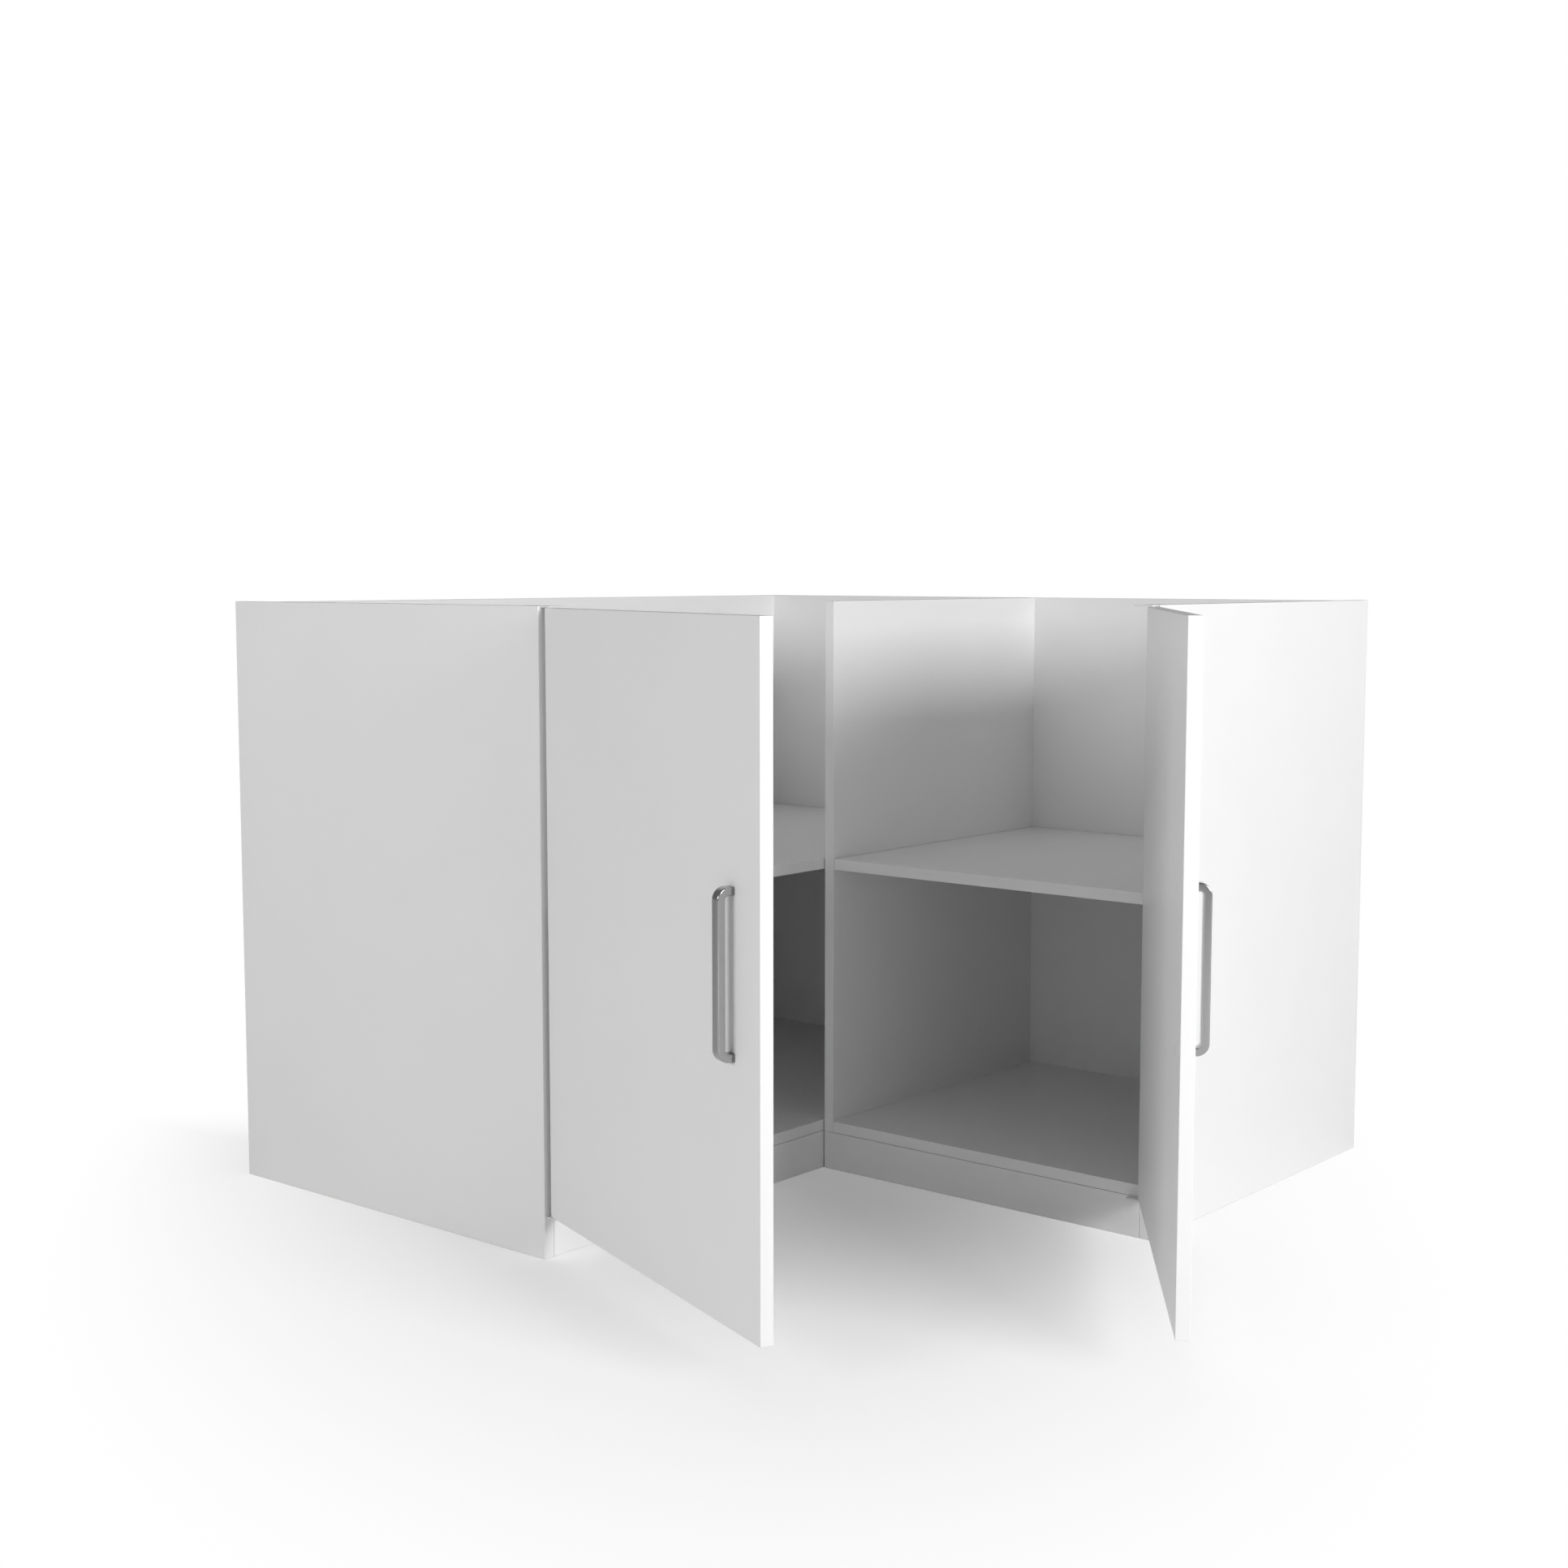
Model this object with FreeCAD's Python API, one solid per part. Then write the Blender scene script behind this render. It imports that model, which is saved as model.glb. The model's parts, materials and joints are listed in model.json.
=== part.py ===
"""Corner kitchen cabinet: two open-topped wings at a right angle, one shelf each, two slab doors.

Frame: millimetres, Z up, the floor is Z = 0. The origin is the inside corner on the floor, where the
fronts of the two wings meet. The right wing runs along +X with its front in the plane Y = 0 and its
back towards +Y. The left wing runs along -Y with its front facing +X and its back towards -X.
"""
import FreeCAD, Part
import math
import os

from FreeCAD import Vector

# Carcass
OVERALL_X = 1160.0            # back edge of the left wing to the right wing's outer end
OVERALL_Y = 1160.0            # back edge of the right wing to the left wing's outer end
HEIGHT = 825.0                # floor to the top edges, where a worktop lies
WING_DEPTH = 600.0            # front to back of the right wing's end panel
BOARD = 16.0                  # melamine-faced chipboard, everywhere
PLINTH_HEIGHT = 55.0
BACK_VOID = 70.0              # space for pipes between the back boards and the walls
WING_GAP = 2.0                # joint between the left wing's boards and the partition
SHELF_CLEARANCE = 1.0         # around each loose shelf
PLINTH_JOINT_GAP = 0.5        # above each plinth and at its outer end
EDGE_ROUND = 0.8              # radius of the edge band on every edge that shows

# Doors
DOOR_THICKNESS = 16.0
DOOR_FRONT_GAP = 2.0          # carcass front to the closed door's back
DOOR_SIDE_REVEAL = 1.5        # end panel's outer face to the closed door's hinge edge
DOOR_CORNER_GAP = 2.0         # between the two closed doors in the inside corner
DOOR_TOP_REVEAL = 2.5         # carcass top down to the door's top
DOOR_BOTTOM_GAP = 0.5         # bottom panel's underside up to the door's lower edge
LEFT_REST_ANGLE = 110.0       # how far the left door stands open
RIGHT_REST_ANGLE = 125.0      # how far the right door stands open

# Pivot hinges, one at the top and one at the bottom of each door
LEFT_PIVOT_FROM_EDGE = 6.0    # door's hinge edge to the pivot axis
LEFT_PIVOT_FROM_BACK = 11.5   # door's back to the pivot axis
RIGHT_PIVOT_FROM_EDGE = 4.0
RIGHT_PIVOT_FROM_BACK = 6.5
PIN_RADIUS = 2.0
PIN_DEPTH = 9.0               # how far the pin reaches into the door
BUSH_WALL = 1.0
BUSH_COLLAR_WIDTH = 0.6
BUSH_COLLAR_HEIGHT = 0.3
PIN_RUNNING_CLEARANCE = 0.05
BUSH_END_ROOM = 1.0           # bush bore goes this much deeper than the pin
BRACKET_SHEET = 2.0
BRACKET_REACH_BACK = 46.0     # bracket's length behind the carcass front
BRACKET_WIDTH = 14.0          # tongue's width inside the carcass
BRACKET_LEAF_HEIGHT = 38.0
BRACKET_NOSE_RADIUS = 4.0
BRACKET_FACE_CLEARANCE = 0.4  # tongue to the end panel's front edge
BRACKET_NOTCH_CLEARANCE = 0.3
BRACKET_LEAF_SETBACK = 2.0    # leaf's front edge behind the plinth's back
BRACKET_SCREW_RADIUS = 1.75
BRACKET_SCREW_HEAD_RADIUS = 3.4
BRACKET_SCREW_LENGTH = 13.0
BRACKET_SCREW_DRIVE = 1.0     # half width of the cross recess
BRACKET_SCREW_COUNT = 2

# Handles: square bows
HANDLE_HOLE_SPACING = 178.5
HANDLE_BAR_WIDTH = 13.5       # across the door
HANDLE_BAR_THICKNESS = 9.5    # away from the door
HANDLE_PROJECTION = 20.5
HANDLE_BEND_RADIUS = 14.0     # outside of the bend
HANDLE_EDGE_ROUND = 1.6
HANDLE_FROM_FREE_EDGE = 61.0
HANDLE_CENTRE_HEIGHT = 444.0
HANDLE_SCREW_RADIUS = 2.0
HANDLE_SCREW_IN_HANDLE = 9.0
HANDLE_SCREW_HEAD_RADIUS = 4.2
HANDLE_SCREW_HEAD_HEIGHT = 2.2
HANDLE_SCREW_CLEARANCE = 0.25
HANDLE_SCREW_HEAD_ROOM = 0.3  # between the sunk head, its pocket and the cap
HANDLE_SCREW_DRIVE = 1.0      # width of the cross recess
HANDLE_CAP_RADIUS = 6.0       # white cap flush over each sunk screw head
HANDLE_CAP_THICKNESS = 1.5
HANDLE_CAP_CLEARANCE = 0.1
HANDLE_CAP_ROUND = 0.3

# Shelf pins
SHELF_PIN_RADIUS = 2.5
SHELF_PIN_IN_BOARD = 9.0
SHELF_PIN_OUT = 9.0
SHELF_PIN_FROM_CORNER = 60.0

# Dowels and cam fittings
DOWEL_RADIUS = 4.0
DOWEL_IN_FACE = 10.0
DOWEL_IN_END = 20.0
DOWEL_CLEARANCE = 0.05
DOWEL_FROM_CAM = 32.0
BOLT_STUD_RADIUS = 2.5
BOLT_STUD_LENGTH = 11.0
BOLT_SHANK_RADIUS = 3.0
BOLT_BORE_RADIUS = 4.0
CAM_SETBACK = 34.0            # cam's centre from the board's end
CAM_RADIUS = 7.5
CAM_DEPTH = 12.5
CAM_CLEARANCE = 0.1
CAM_HEAD_ROOM = 0.4
CAM_DRIVE_WIDTH = 1.6
CAM_DRIVE_DEPTH = 3.0
JOINT_FROM_EDGE = 70.0        # first fitting in from a board's edge
WING_END_FITTING_COUNT = 3    # across the left wing's two ends
LONG_WALL_FITTING_COUNT = 4   # along the left back board
SIDE_FITTING_COUNT = 3        # along the partition and the right end panel
SHORT_WALL_FITTING_COUNT = 2  # along the right wing's back
UPRIGHT_FITTING_COUNT = 3     # up each upright joint
PLINTH_DOWEL_COUNT = 3        # down into each plinth

CUT_OVERRUN = 5.0             # cutters run this far past the face they open

# Places that follow from the sizes above
BACK_X = -(WING_DEPTH + BOARD)
RIGHT_END_X = BACK_X + OVERALL_X
BACK_Y = WING_DEPTH
LEFT_END_Y = BACK_Y - OVERALL_Y
LEFT_FRONT_X = -WING_GAP
LEFT_INNER_Y = LEFT_END_Y + BOARD
RIGHT_INNER_X = RIGHT_END_X - BOARD
LEFT_BACK_INNER_X = BACK_X + BACK_VOID + BOARD
RIGHT_BACK_INNER_Y = BACK_Y - BACK_VOID - BOARD
BOTTOM_TOP = PLINTH_HEIGHT + BOARD
SHELF_UNDERSIDE = (BOTTOM_TOP + HEIGHT - BOARD) / 2
PLINTH_TOP = PLINTH_HEIGHT - PLINTH_JOINT_GAP
DOOR_BOTTOM = PLINTH_HEIGHT + DOOR_BOTTOM_GAP
DOOR_TOP = HEIGHT - DOOR_TOP_REVEAL
DOOR_FACE = DOOR_FRONT_GAP + DOOR_THICKNESS
HANDLE_SCREW_SEAT = HANDLE_CAP_THICKNESS + HANDLE_SCREW_HEAD_ROOM + HANDLE_SCREW_HEAD_HEIGHT
LEFT_DOOR_FREE_V = -LEFT_END_Y - DOOR_FACE - DOOR_CORNER_GAP
RIGHT_DOOR_FREE_V = RIGHT_END_X - (LEFT_FRONT_X + DOOR_FACE) - DOOR_CORNER_GAP

# Pivot axes in the hinge frame that is described below, at floor height
LEFT_PIVOT = Vector(DOOR_FRONT_GAP + LEFT_PIVOT_FROM_BACK, DOOR_SIDE_REVEAL + LEFT_PIVOT_FROM_EDGE, 0)
RIGHT_PIVOT = Vector(DOOR_FRONT_GAP + RIGHT_PIVOT_FROM_BACK, DOOR_SIDE_REVEAL + RIGHT_PIVOT_FROM_EDGE, 0)

UP = Vector(0, 0, 1)
DOWN = Vector(0, 0, -1)
LEFTWARD = Vector(-1, 0, 0)
RIGHTWARD = Vector(1, 0, 0)
FORWARD = Vector(0, -1, 0)
BACKWARD = Vector(0, 1, 0)


def box(low, high):
    """Box between two corners."""
    size = high - low
    return Part.makeBox(size.x, size.y, size.z, low)


def rod(radius, start, direction, length):
    """Round bar from a point along a unit direction."""
    return Part.makeCylinder(radius, length, start, direction)


def board(low, high, shown_faces):
    """Board whose edges are rounded all round each face that shows; shown_faces are outward normals."""
    solid = box(low, high)
    picked = []
    for normal in shown_faces:
        for face in solid.Faces:
            if face.normalAt(0, 0).dot(normal) > 0.5:
                picked.extend(face.Edges)
    unique = []
    for edge in picked:
        if not any(edge.isSame(other) for other in unique):
            unique.append(edge)
    return solid.makeFillet(EDGE_ROUND, unique) if unique else solid


def cut_all(solid, cutters):
    """Solid with every cutter taken away."""
    return solid.cut(cutters) if cutters else solid


def spread(first, last, count):
    """Evenly spaced places from first to last."""
    step = (last - first) / (count - 1)
    return [first + step * index for index in range(count)]


# Fittings: each is a joint between one board's face and another board's end
def fitting(wing, face_board, end_board, point, into, along, cam_side=None, gap=0.0):
    """One dowel, with a cam fitting beside it where cam_side says from which face the cam goes in.

    point lies on the face board's face at the middle of the end board's thickness, into points into
    the end board, and along is the direction from the cam to its dowel.
    """
    return {
        "wing": wing,
        "face_board": face_board,
        "end_board": end_board,
        "point": point,
        "into": into,
        "along": along,
        "cam_side": cam_side,
        "gap": gap,
    }


def bottom_fittings():
    """Fittings round the edges of the two bottom panels."""
    middle = PLINTH_HEIGHT + BOARD / 2
    found = []
    first = LEFT_BACK_INNER_X + JOINT_FROM_EDGE
    for x in spread(first, LEFT_FRONT_X - JOINT_FROM_EDGE, WING_END_FITTING_COUNT):
        start = Vector(x, LEFT_INNER_Y, middle)
        found.append(fitting("left", "left_end_panel", "left_bottom_panel", start, BACKWARD, RIGHTWARD, DOWN))
        start = Vector(x, RIGHT_BACK_INNER_Y, middle)
        found.append(fitting("left", "right_back_panel", "left_bottom_panel", start, FORWARD, RIGHTWARD, DOWN))
    last = RIGHT_BACK_INNER_Y - JOINT_FROM_EDGE - DOWEL_FROM_CAM
    for y in spread(LEFT_INNER_Y + JOINT_FROM_EDGE, last, LONG_WALL_FITTING_COUNT):
        start = Vector(LEFT_BACK_INNER_X, y, middle)
        found.append(fitting("left", "left_back_panel", "left_bottom_panel", start, RIGHTWARD, BACKWARD, DOWN))
    for y in spread(JOINT_FROM_EDGE, last, SIDE_FITTING_COUNT):
        start = Vector(0, y + DOWEL_FROM_CAM / 2, middle)
        found.append(fitting("left", "partition_panel", "left_bottom_panel", start, LEFTWARD, BACKWARD,
                             gap=WING_GAP))
        start = Vector(BOARD, y, middle)
        found.append(fitting("right", "partition_panel", "right_bottom_panel", start, RIGHTWARD, BACKWARD,
                             DOWN))
        start = Vector(RIGHT_INNER_X, y, middle)
        found.append(fitting("right", "right_end_panel", "right_bottom_panel", start, LEFTWARD, BACKWARD, DOWN))
    last = RIGHT_INNER_X - JOINT_FROM_EDGE - DOWEL_FROM_CAM
    for x in spread(BOARD + JOINT_FROM_EDGE, last, SHORT_WALL_FITTING_COUNT):
        start = Vector(x, RIGHT_BACK_INNER_Y, middle)
        found.append(fitting("right", "right_back_panel", "right_bottom_panel", start, FORWARD, RIGHTWARD, DOWN))
    return found


def upright_fittings():
    """Fittings up the ends of the back boards and the back edge of the partition."""
    left_middle = LEFT_BACK_INNER_X - BOARD / 2
    right_middle = RIGHT_BACK_INNER_Y + BOARD / 2
    found = []
    highest = HEIGHT - JOINT_FROM_EDGE - DOWEL_FROM_CAM
    for z in spread(BOTTOM_TOP + JOINT_FROM_EDGE, highest, UPRIGHT_FITTING_COUNT):
        start = Vector(left_middle, LEFT_INNER_Y, z)
        found.append(fitting("left", "left_end_panel", "left_back_panel", start, BACKWARD, UP, LEFTWARD))
        start = Vector(LEFT_BACK_INNER_X, right_middle, z)
        found.append(fitting("left", "left_back_panel", "right_back_panel", start, RIGHTWARD, UP, BACKWARD))
        start = Vector(RIGHT_INNER_X, right_middle, z)
        found.append(fitting("right", "right_end_panel", "right_back_panel", start, LEFTWARD, UP, BACKWARD))
        start = Vector(BOARD / 2, RIGHT_BACK_INNER_Y, z)
        found.append(fitting("right", "right_back_panel", "partition_panel", start, FORWARD, UP, LEFTWARD))
    return found


def plinth_fittings():
    """Fittings at the plinths' outer ends, and dowels down from the bottom panels."""
    cam_height = PLINTH_HEIGHT / 2
    left_middle = LEFT_FRONT_X - BOARD / 2
    found = []
    start = Vector(left_middle, LEFT_INNER_Y, cam_height)
    found.append(fitting("left", "left_end_panel", "left_plinth", start, BACKWARD, None, LEFTWARD))
    start = Vector(RIGHT_INNER_X, BOARD / 2, cam_height)
    found.append(fitting("right", "right_end_panel", "right_plinth", start, LEFTWARD, None, BACKWARD))
    for y in spread(LEFT_INNER_Y + 2 * JOINT_FROM_EDGE, -JOINT_FROM_EDGE, PLINTH_DOWEL_COUNT):
        start = Vector(left_middle, y, PLINTH_HEIGHT)
        found.append(fitting("left", "left_bottom_panel", "left_plinth", start, DOWN, None))
    for x in spread(BOARD + JOINT_FROM_EDGE, RIGHT_INNER_X - 2 * JOINT_FROM_EDGE, PLINTH_DOWEL_COUNT):
        start = Vector(x, BOARD / 2, PLINTH_HEIGHT)
        found.append(fitting("right", "right_bottom_panel", "right_plinth", start, DOWN, None))
    return found


FITTINGS = bottom_fittings() + upright_fittings() + plinth_fittings()


def dowel_place(item):
    """Where a fitting's dowel crosses the joint, or None where the fitting is a cam alone."""
    if item["cam_side"] is None:
        return item["point"]
    if item["along"] is None:
        return None
    return item["point"] + item["along"] * DOWEL_FROM_CAM


def dowel(item, clearance=0.0):
    """Beech dowel across one joint; with a clearance, the bore for it."""
    start = dowel_place(item) - item["into"] * (DOWEL_IN_FACE + clearance)
    length = DOWEL_IN_FACE + item["gap"] + DOWEL_IN_END + 2 * clearance
    return rod(DOWEL_RADIUS + clearance, start, item["into"], length)


def cam_centre(item):
    """Centre of a fitting's cam on the face that it goes in from."""
    return item["point"] + item["into"] * CAM_SETBACK + item["cam_side"] * (BOARD / 2)


def cam_bolt(item):
    """Stud in the face board with a plain shank that ends inside the cam."""
    stud = rod(BOLT_STUD_RADIUS, item["point"] - item["into"] * BOLT_STUD_LENGTH, item["into"], BOLT_STUD_LENGTH)
    shank = rod(BOLT_SHANK_RADIUS, item["point"], item["into"], CAM_SETBACK)
    return stud.fuse(shank)


def cam(item):
    """Round cam housing with a pocket for the bolt and a slot for the driver."""
    face = cam_centre(item)
    inward = -item["cam_side"]
    body = rod(CAM_RADIUS, face, inward, CAM_DEPTH)
    pocket = rod(BOLT_SHANK_RADIUS + CAM_HEAD_ROOM, item["point"], item["into"], CAM_SETBACK + CAM_HEAD_ROOM)
    across = item["into"].cross(item["cam_side"])
    corner = face - item["into"] * CAM_RADIUS - across * (CAM_DRIVE_WIDTH / 2)
    far = face + item["into"] * CAM_RADIUS + across * (CAM_DRIVE_WIDTH / 2) + inward * CAM_DRIVE_DEPTH
    low = Vector(min(corner.x, far.x), min(corner.y, far.y), min(corner.z, far.z))
    high = Vector(max(corner.x, far.x), max(corner.y, far.y), max(corner.z, far.z))
    return body.cut([pocket, box(low, high)])


def fitting_bores(name):
    """Every bore that the fittings need in one board."""
    bores = []
    for item in FITTINGS:
        if name not in (item["face_board"], item["end_board"]):
            continue
        if dowel_place(item) is not None:
            bores.append(dowel(item, DOWEL_CLEARANCE))
        if item["cam_side"] is None:
            continue
        if name == item["face_board"]:
            start = item["point"] - item["into"] * BOLT_STUD_LENGTH
            bores.append(rod(BOLT_STUD_RADIUS, start, item["into"], BOLT_STUD_LENGTH + CUT_OVERRUN))
        else:
            start = item["point"] - item["into"] * CUT_OVERRUN
            bores.append(rod(BOLT_BORE_RADIUS, start, item["into"], CUT_OVERRUN + CAM_SETBACK))
            start = cam_centre(item) + item["cam_side"] * CUT_OVERRUN
            bores.append(rod(CAM_RADIUS + CAM_CLEARANCE, start, -item["cam_side"], CUT_OVERRUN + CAM_DEPTH))
    return bores


# Shelf pins: where they stand and which way they point out of their board
def left_shelf_pin_places():
    """Pins under the left shelf, as board name, place and outward direction."""
    height = SHELF_UNDERSIDE - SHELF_PIN_RADIUS
    near_back = LEFT_BACK_INNER_X + SHELF_PIN_FROM_CORNER
    near_front = LEFT_FRONT_X - SHELF_PIN_FROM_CORNER
    middle = (LEFT_INNER_Y + RIGHT_BACK_INNER_Y) / 2
    return [
        ("left_end_panel", Vector(near_back, LEFT_INNER_Y, height), BACKWARD),
        ("left_end_panel", Vector(near_front, LEFT_INNER_Y, height), BACKWARD),
        ("left_back_panel", Vector(LEFT_BACK_INNER_X, middle, height), RIGHTWARD),
        ("right_back_panel", Vector(near_back, RIGHT_BACK_INNER_Y, height), FORWARD),
        ("right_back_panel", Vector(near_front, RIGHT_BACK_INNER_Y, height), FORWARD),
    ]


def right_shelf_pin_places():
    """Pins under the right shelf."""
    height = SHELF_UNDERSIDE - SHELF_PIN_RADIUS
    places = []
    for y in (SHELF_PIN_FROM_CORNER, RIGHT_BACK_INNER_Y - SHELF_PIN_FROM_CORNER):
        places.append(("partition_panel", Vector(BOARD, y, height), RIGHTWARD))
        places.append(("right_end_panel", Vector(RIGHT_INNER_X, y, height), LEFTWARD))
    return places


def shelf_pin(place, outward):
    """Round steel pin, half in its board and half under the shelf."""
    start = place - outward * SHELF_PIN_IN_BOARD
    return rod(SHELF_PIN_RADIUS, start, outward, SHELF_PIN_IN_BOARD + SHELF_PIN_OUT)


def shelf_pin_bores(name):
    """Bores for the shelf pins in one board."""
    bores = []
    for owner, place, outward in left_shelf_pin_places() + right_shelf_pin_places():
        if owner == name:
            start = place - outward * SHELF_PIN_IN_BOARD
            bores.append(rod(SHELF_PIN_RADIUS, start, outward, SHELF_PIN_IN_BOARD + CUT_OVERRUN))
    return bores


# Each wing's door side has a hinge frame: U runs out of the front and V from the end panel inwards
def place_left(shape):
    """Moves a shape from the hinge frame to the left wing."""
    placed = shape.copy()
    placed.translate(Vector(LEFT_FRONT_X, LEFT_END_Y, 0))
    return placed


def place_right(shape):
    """Moves a shape from the hinge frame to the right wing, which is a mirror image."""
    placed = shape.mirror(Vector(0, 0, 0), Vector(1, 1, 0))
    placed.translate(Vector(RIGHT_END_X, 0, 0))
    return placed


def opened(shape, pivot, angle):
    """Swings a closed door's piece open about the pivot axis, in the hinge frame."""
    turned = shape.copy()
    turned.rotate(pivot, UP, -angle)
    return turned


def bracket_screw_places():
    """Centres of the screws in an upper bracket's leaf, on its inner side."""
    front = -(BOARD + BRACKET_LEAF_SETBACK)
    height = HEIGHT - BRACKET_SHEET - (BRACKET_LEAF_HEIGHT - BRACKET_SHEET) / 2
    inset = 2 * BRACKET_SCREW_HEAD_RADIUS
    places = spread(-BRACKET_REACH_BACK + inset, front - inset, BRACKET_SCREW_COUNT)
    return [Vector(u, BOARD + BRACKET_SHEET, height) for u in places]


def upper_bracket(pivot):
    """Pressed steel bracket: a leaf on the end panel's inner face and a tongue over the door."""
    low = HEIGHT - BRACKET_SHEET
    inner = Vector(-BRACKET_REACH_BACK, BOARD, low)
    bend = Vector(BRACKET_FACE_CLEARANCE, BOARD + BRACKET_WIDTH, HEIGHT)
    tongue = box(inner, bend)
    nose_low = Vector(BRACKET_FACE_CLEARANCE, pivot.y, low)
    nose_high = Vector(pivot.x + BRACKET_NOSE_RADIUS, BOARD + BRACKET_WIDTH, HEIGHT)
    nose = box(nose_low, nose_high)
    tip_low = Vector(BRACKET_FACE_CLEARANCE, pivot.y - BRACKET_NOSE_RADIUS, low)
    tip_high = pivot + UP * HEIGHT
    tip = box(tip_low, tip_high)
    round_end = rod(BRACKET_NOSE_RADIUS, pivot + UP * low, UP, BRACKET_SHEET)
    leaf_low = Vector(-BRACKET_REACH_BACK, BOARD, HEIGHT - BRACKET_LEAF_HEIGHT)
    leaf_high = Vector(-(BOARD + BRACKET_LEAF_SETBACK), BOARD + BRACKET_SHEET, low)
    leaf = box(leaf_low, leaf_high)
    solid = tongue.fuse([nose, tip, round_end, leaf]).removeSplitter()
    holes = [rod(PIN_RADIUS, pivot + UP * (low - CUT_OVERRUN), UP, BRACKET_SHEET + 2 * CUT_OVERRUN)]
    for place in bracket_screw_places():
        holes.append(rod(BRACKET_SCREW_RADIUS, place - BACKWARD * (BRACKET_SHEET + CUT_OVERRUN), BACKWARD,
                         BRACKET_SHEET + 2 * CUT_OVERRUN))
        holes.append(screw_head(place))
    return solid.cut(holes)


def screw_head(place):
    """Countersunk head whose flat face lies on a bracket's inner side."""
    depth = BRACKET_SHEET
    start = place - BACKWARD * depth
    return Part.makeCone(BRACKET_SCREW_RADIUS, BRACKET_SCREW_HEAD_RADIUS, depth, start, BACKWARD)


def upper_bracket_screws():
    """Countersunk screws through the leaf into the end panel."""
    screws = []
    for place in bracket_screw_places():
        tip = place - BACKWARD * BRACKET_SCREW_LENGTH
        shank = rod(BRACKET_SCREW_RADIUS, tip, BACKWARD, BRACKET_SCREW_LENGTH)
        slots = []
        reach = BRACKET_SCREW_HEAD_RADIUS / 2
        for half_u, half_z in ((reach, BRACKET_SCREW_DRIVE / 2), (BRACKET_SCREW_DRIVE / 2, reach)):
            low = place + Vector(-half_u, -BRACKET_SCREW_DRIVE, -half_z)
            high = place + Vector(half_u, CUT_OVERRUN, half_z)
            slots.append(box(low, high))
        screws.append(shank.fuse(screw_head(place)).cut(slots))
    return screws


def upper_pin(pivot):
    """Pivot pin riveted in the upper bracket, pointing down into the door."""
    length = DOOR_TOP_REVEAL + PIN_DEPTH
    return rod(PIN_RADIUS, pivot + UP * HEIGHT, DOWN, length)


def upper_bush(pivot):
    """Nylon bush in the door's top edge, with a collar that runs against the bracket."""
    outer = PIN_RADIUS + BUSH_WALL
    depth = PIN_DEPTH + BUSH_END_ROOM
    centre = pivot + UP * DOOR_TOP
    sleeve = rod(outer, centre - UP * depth, UP, depth)
    collar = rod(outer + BUSH_COLLAR_WIDTH, centre, UP, BUSH_COLLAR_HEIGHT)
    bore = rod(PIN_RADIUS + PIN_RUNNING_CLEARANCE, centre - UP * depth, UP, depth + CUT_OVERRUN)
    return sleeve.fuse(collar).cut(bore)


def lowered(shape):
    """Moves an upper hinge piece down to its place under the bottom panel."""
    moved = shape.copy()
    moved.translate(DOWN * (HEIGHT - PLINTH_HEIGHT))
    return moved


def door_to_lower(shape):
    """Mirrors a piece in the door's top edge to its lower edge."""
    flipped = shape.mirror(Vector(0, 0, 0), UP)
    flipped.translate(UP * (DOOR_TOP + DOOR_BOTTOM))
    return flipped


def lower_pin(pivot):
    """Pivot pin riveted in the lower bracket, pointing up into the door."""
    length = BRACKET_SHEET + DOOR_BOTTOM_GAP + PIN_DEPTH
    return rod(PIN_RADIUS, pivot + UP * (PLINTH_HEIGHT - BRACKET_SHEET), UP, length)


def end_panel_screw_bores():
    """Bores in an end panel for the screws of both brackets."""
    tips = [place - BACKWARD * BRACKET_SCREW_LENGTH for place in bracket_screw_places()]
    upper = [rod(BRACKET_SCREW_RADIUS, tip, BACKWARD, BRACKET_SCREW_LENGTH) for tip in tips]
    return upper + [lowered(bore) for bore in upper]


def bracket_notch():
    """Room in a plinth's top edge for the lower bracket's tongue."""
    low = Vector(-(BOARD + CUT_OVERRUN), 0, PLINTH_HEIGHT - BRACKET_SHEET - BRACKET_NOTCH_CLEARANCE)
    high = Vector(CUT_OVERRUN, BOARD + BRACKET_WIDTH + BRACKET_NOTCH_CLEARANCE, PLINTH_HEIGHT + CUT_OVERRUN)
    return box(low, high)


# Boards of the carcass
def left_end_panel():
    solid = board(Vector(BACK_X, LEFT_END_Y, 0), Vector(LEFT_FRONT_X, LEFT_INNER_Y, HEIGHT), [RIGHTWARD, UP])
    screws = [place_left(bore) for bore in end_panel_screw_bores()]
    return cut_all(solid, fitting_bores("left_end_panel") + shelf_pin_bores("left_end_panel") + screws)


def right_end_panel():
    solid = board(Vector(RIGHT_INNER_X, 0, 0), Vector(RIGHT_END_X, BACK_Y, HEIGHT), [FORWARD, UP])
    screws = [place_right(bore) for bore in end_panel_screw_bores()]
    return cut_all(solid, fitting_bores("right_end_panel") + shelf_pin_bores("right_end_panel") + screws)


def partition_panel():
    solid = board(Vector(0, 0, 0), Vector(BOARD, RIGHT_BACK_INNER_Y, HEIGHT), [FORWARD, UP])
    foot = box(Vector(-CUT_OVERRUN, -CUT_OVERRUN, -CUT_OVERRUN),
               Vector(BOARD + CUT_OVERRUN, BOARD, PLINTH_HEIGHT))
    return cut_all(solid, [foot] + fitting_bores("partition_panel") + shelf_pin_bores("partition_panel"))


def left_back_panel():
    low = Vector(LEFT_BACK_INNER_X - BOARD, LEFT_INNER_Y, 0)
    high = Vector(LEFT_BACK_INNER_X, RIGHT_BACK_INNER_Y + BOARD, HEIGHT)
    solid = board(low, high, [UP])
    return cut_all(solid, fitting_bores("left_back_panel") + shelf_pin_bores("left_back_panel"))


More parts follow.
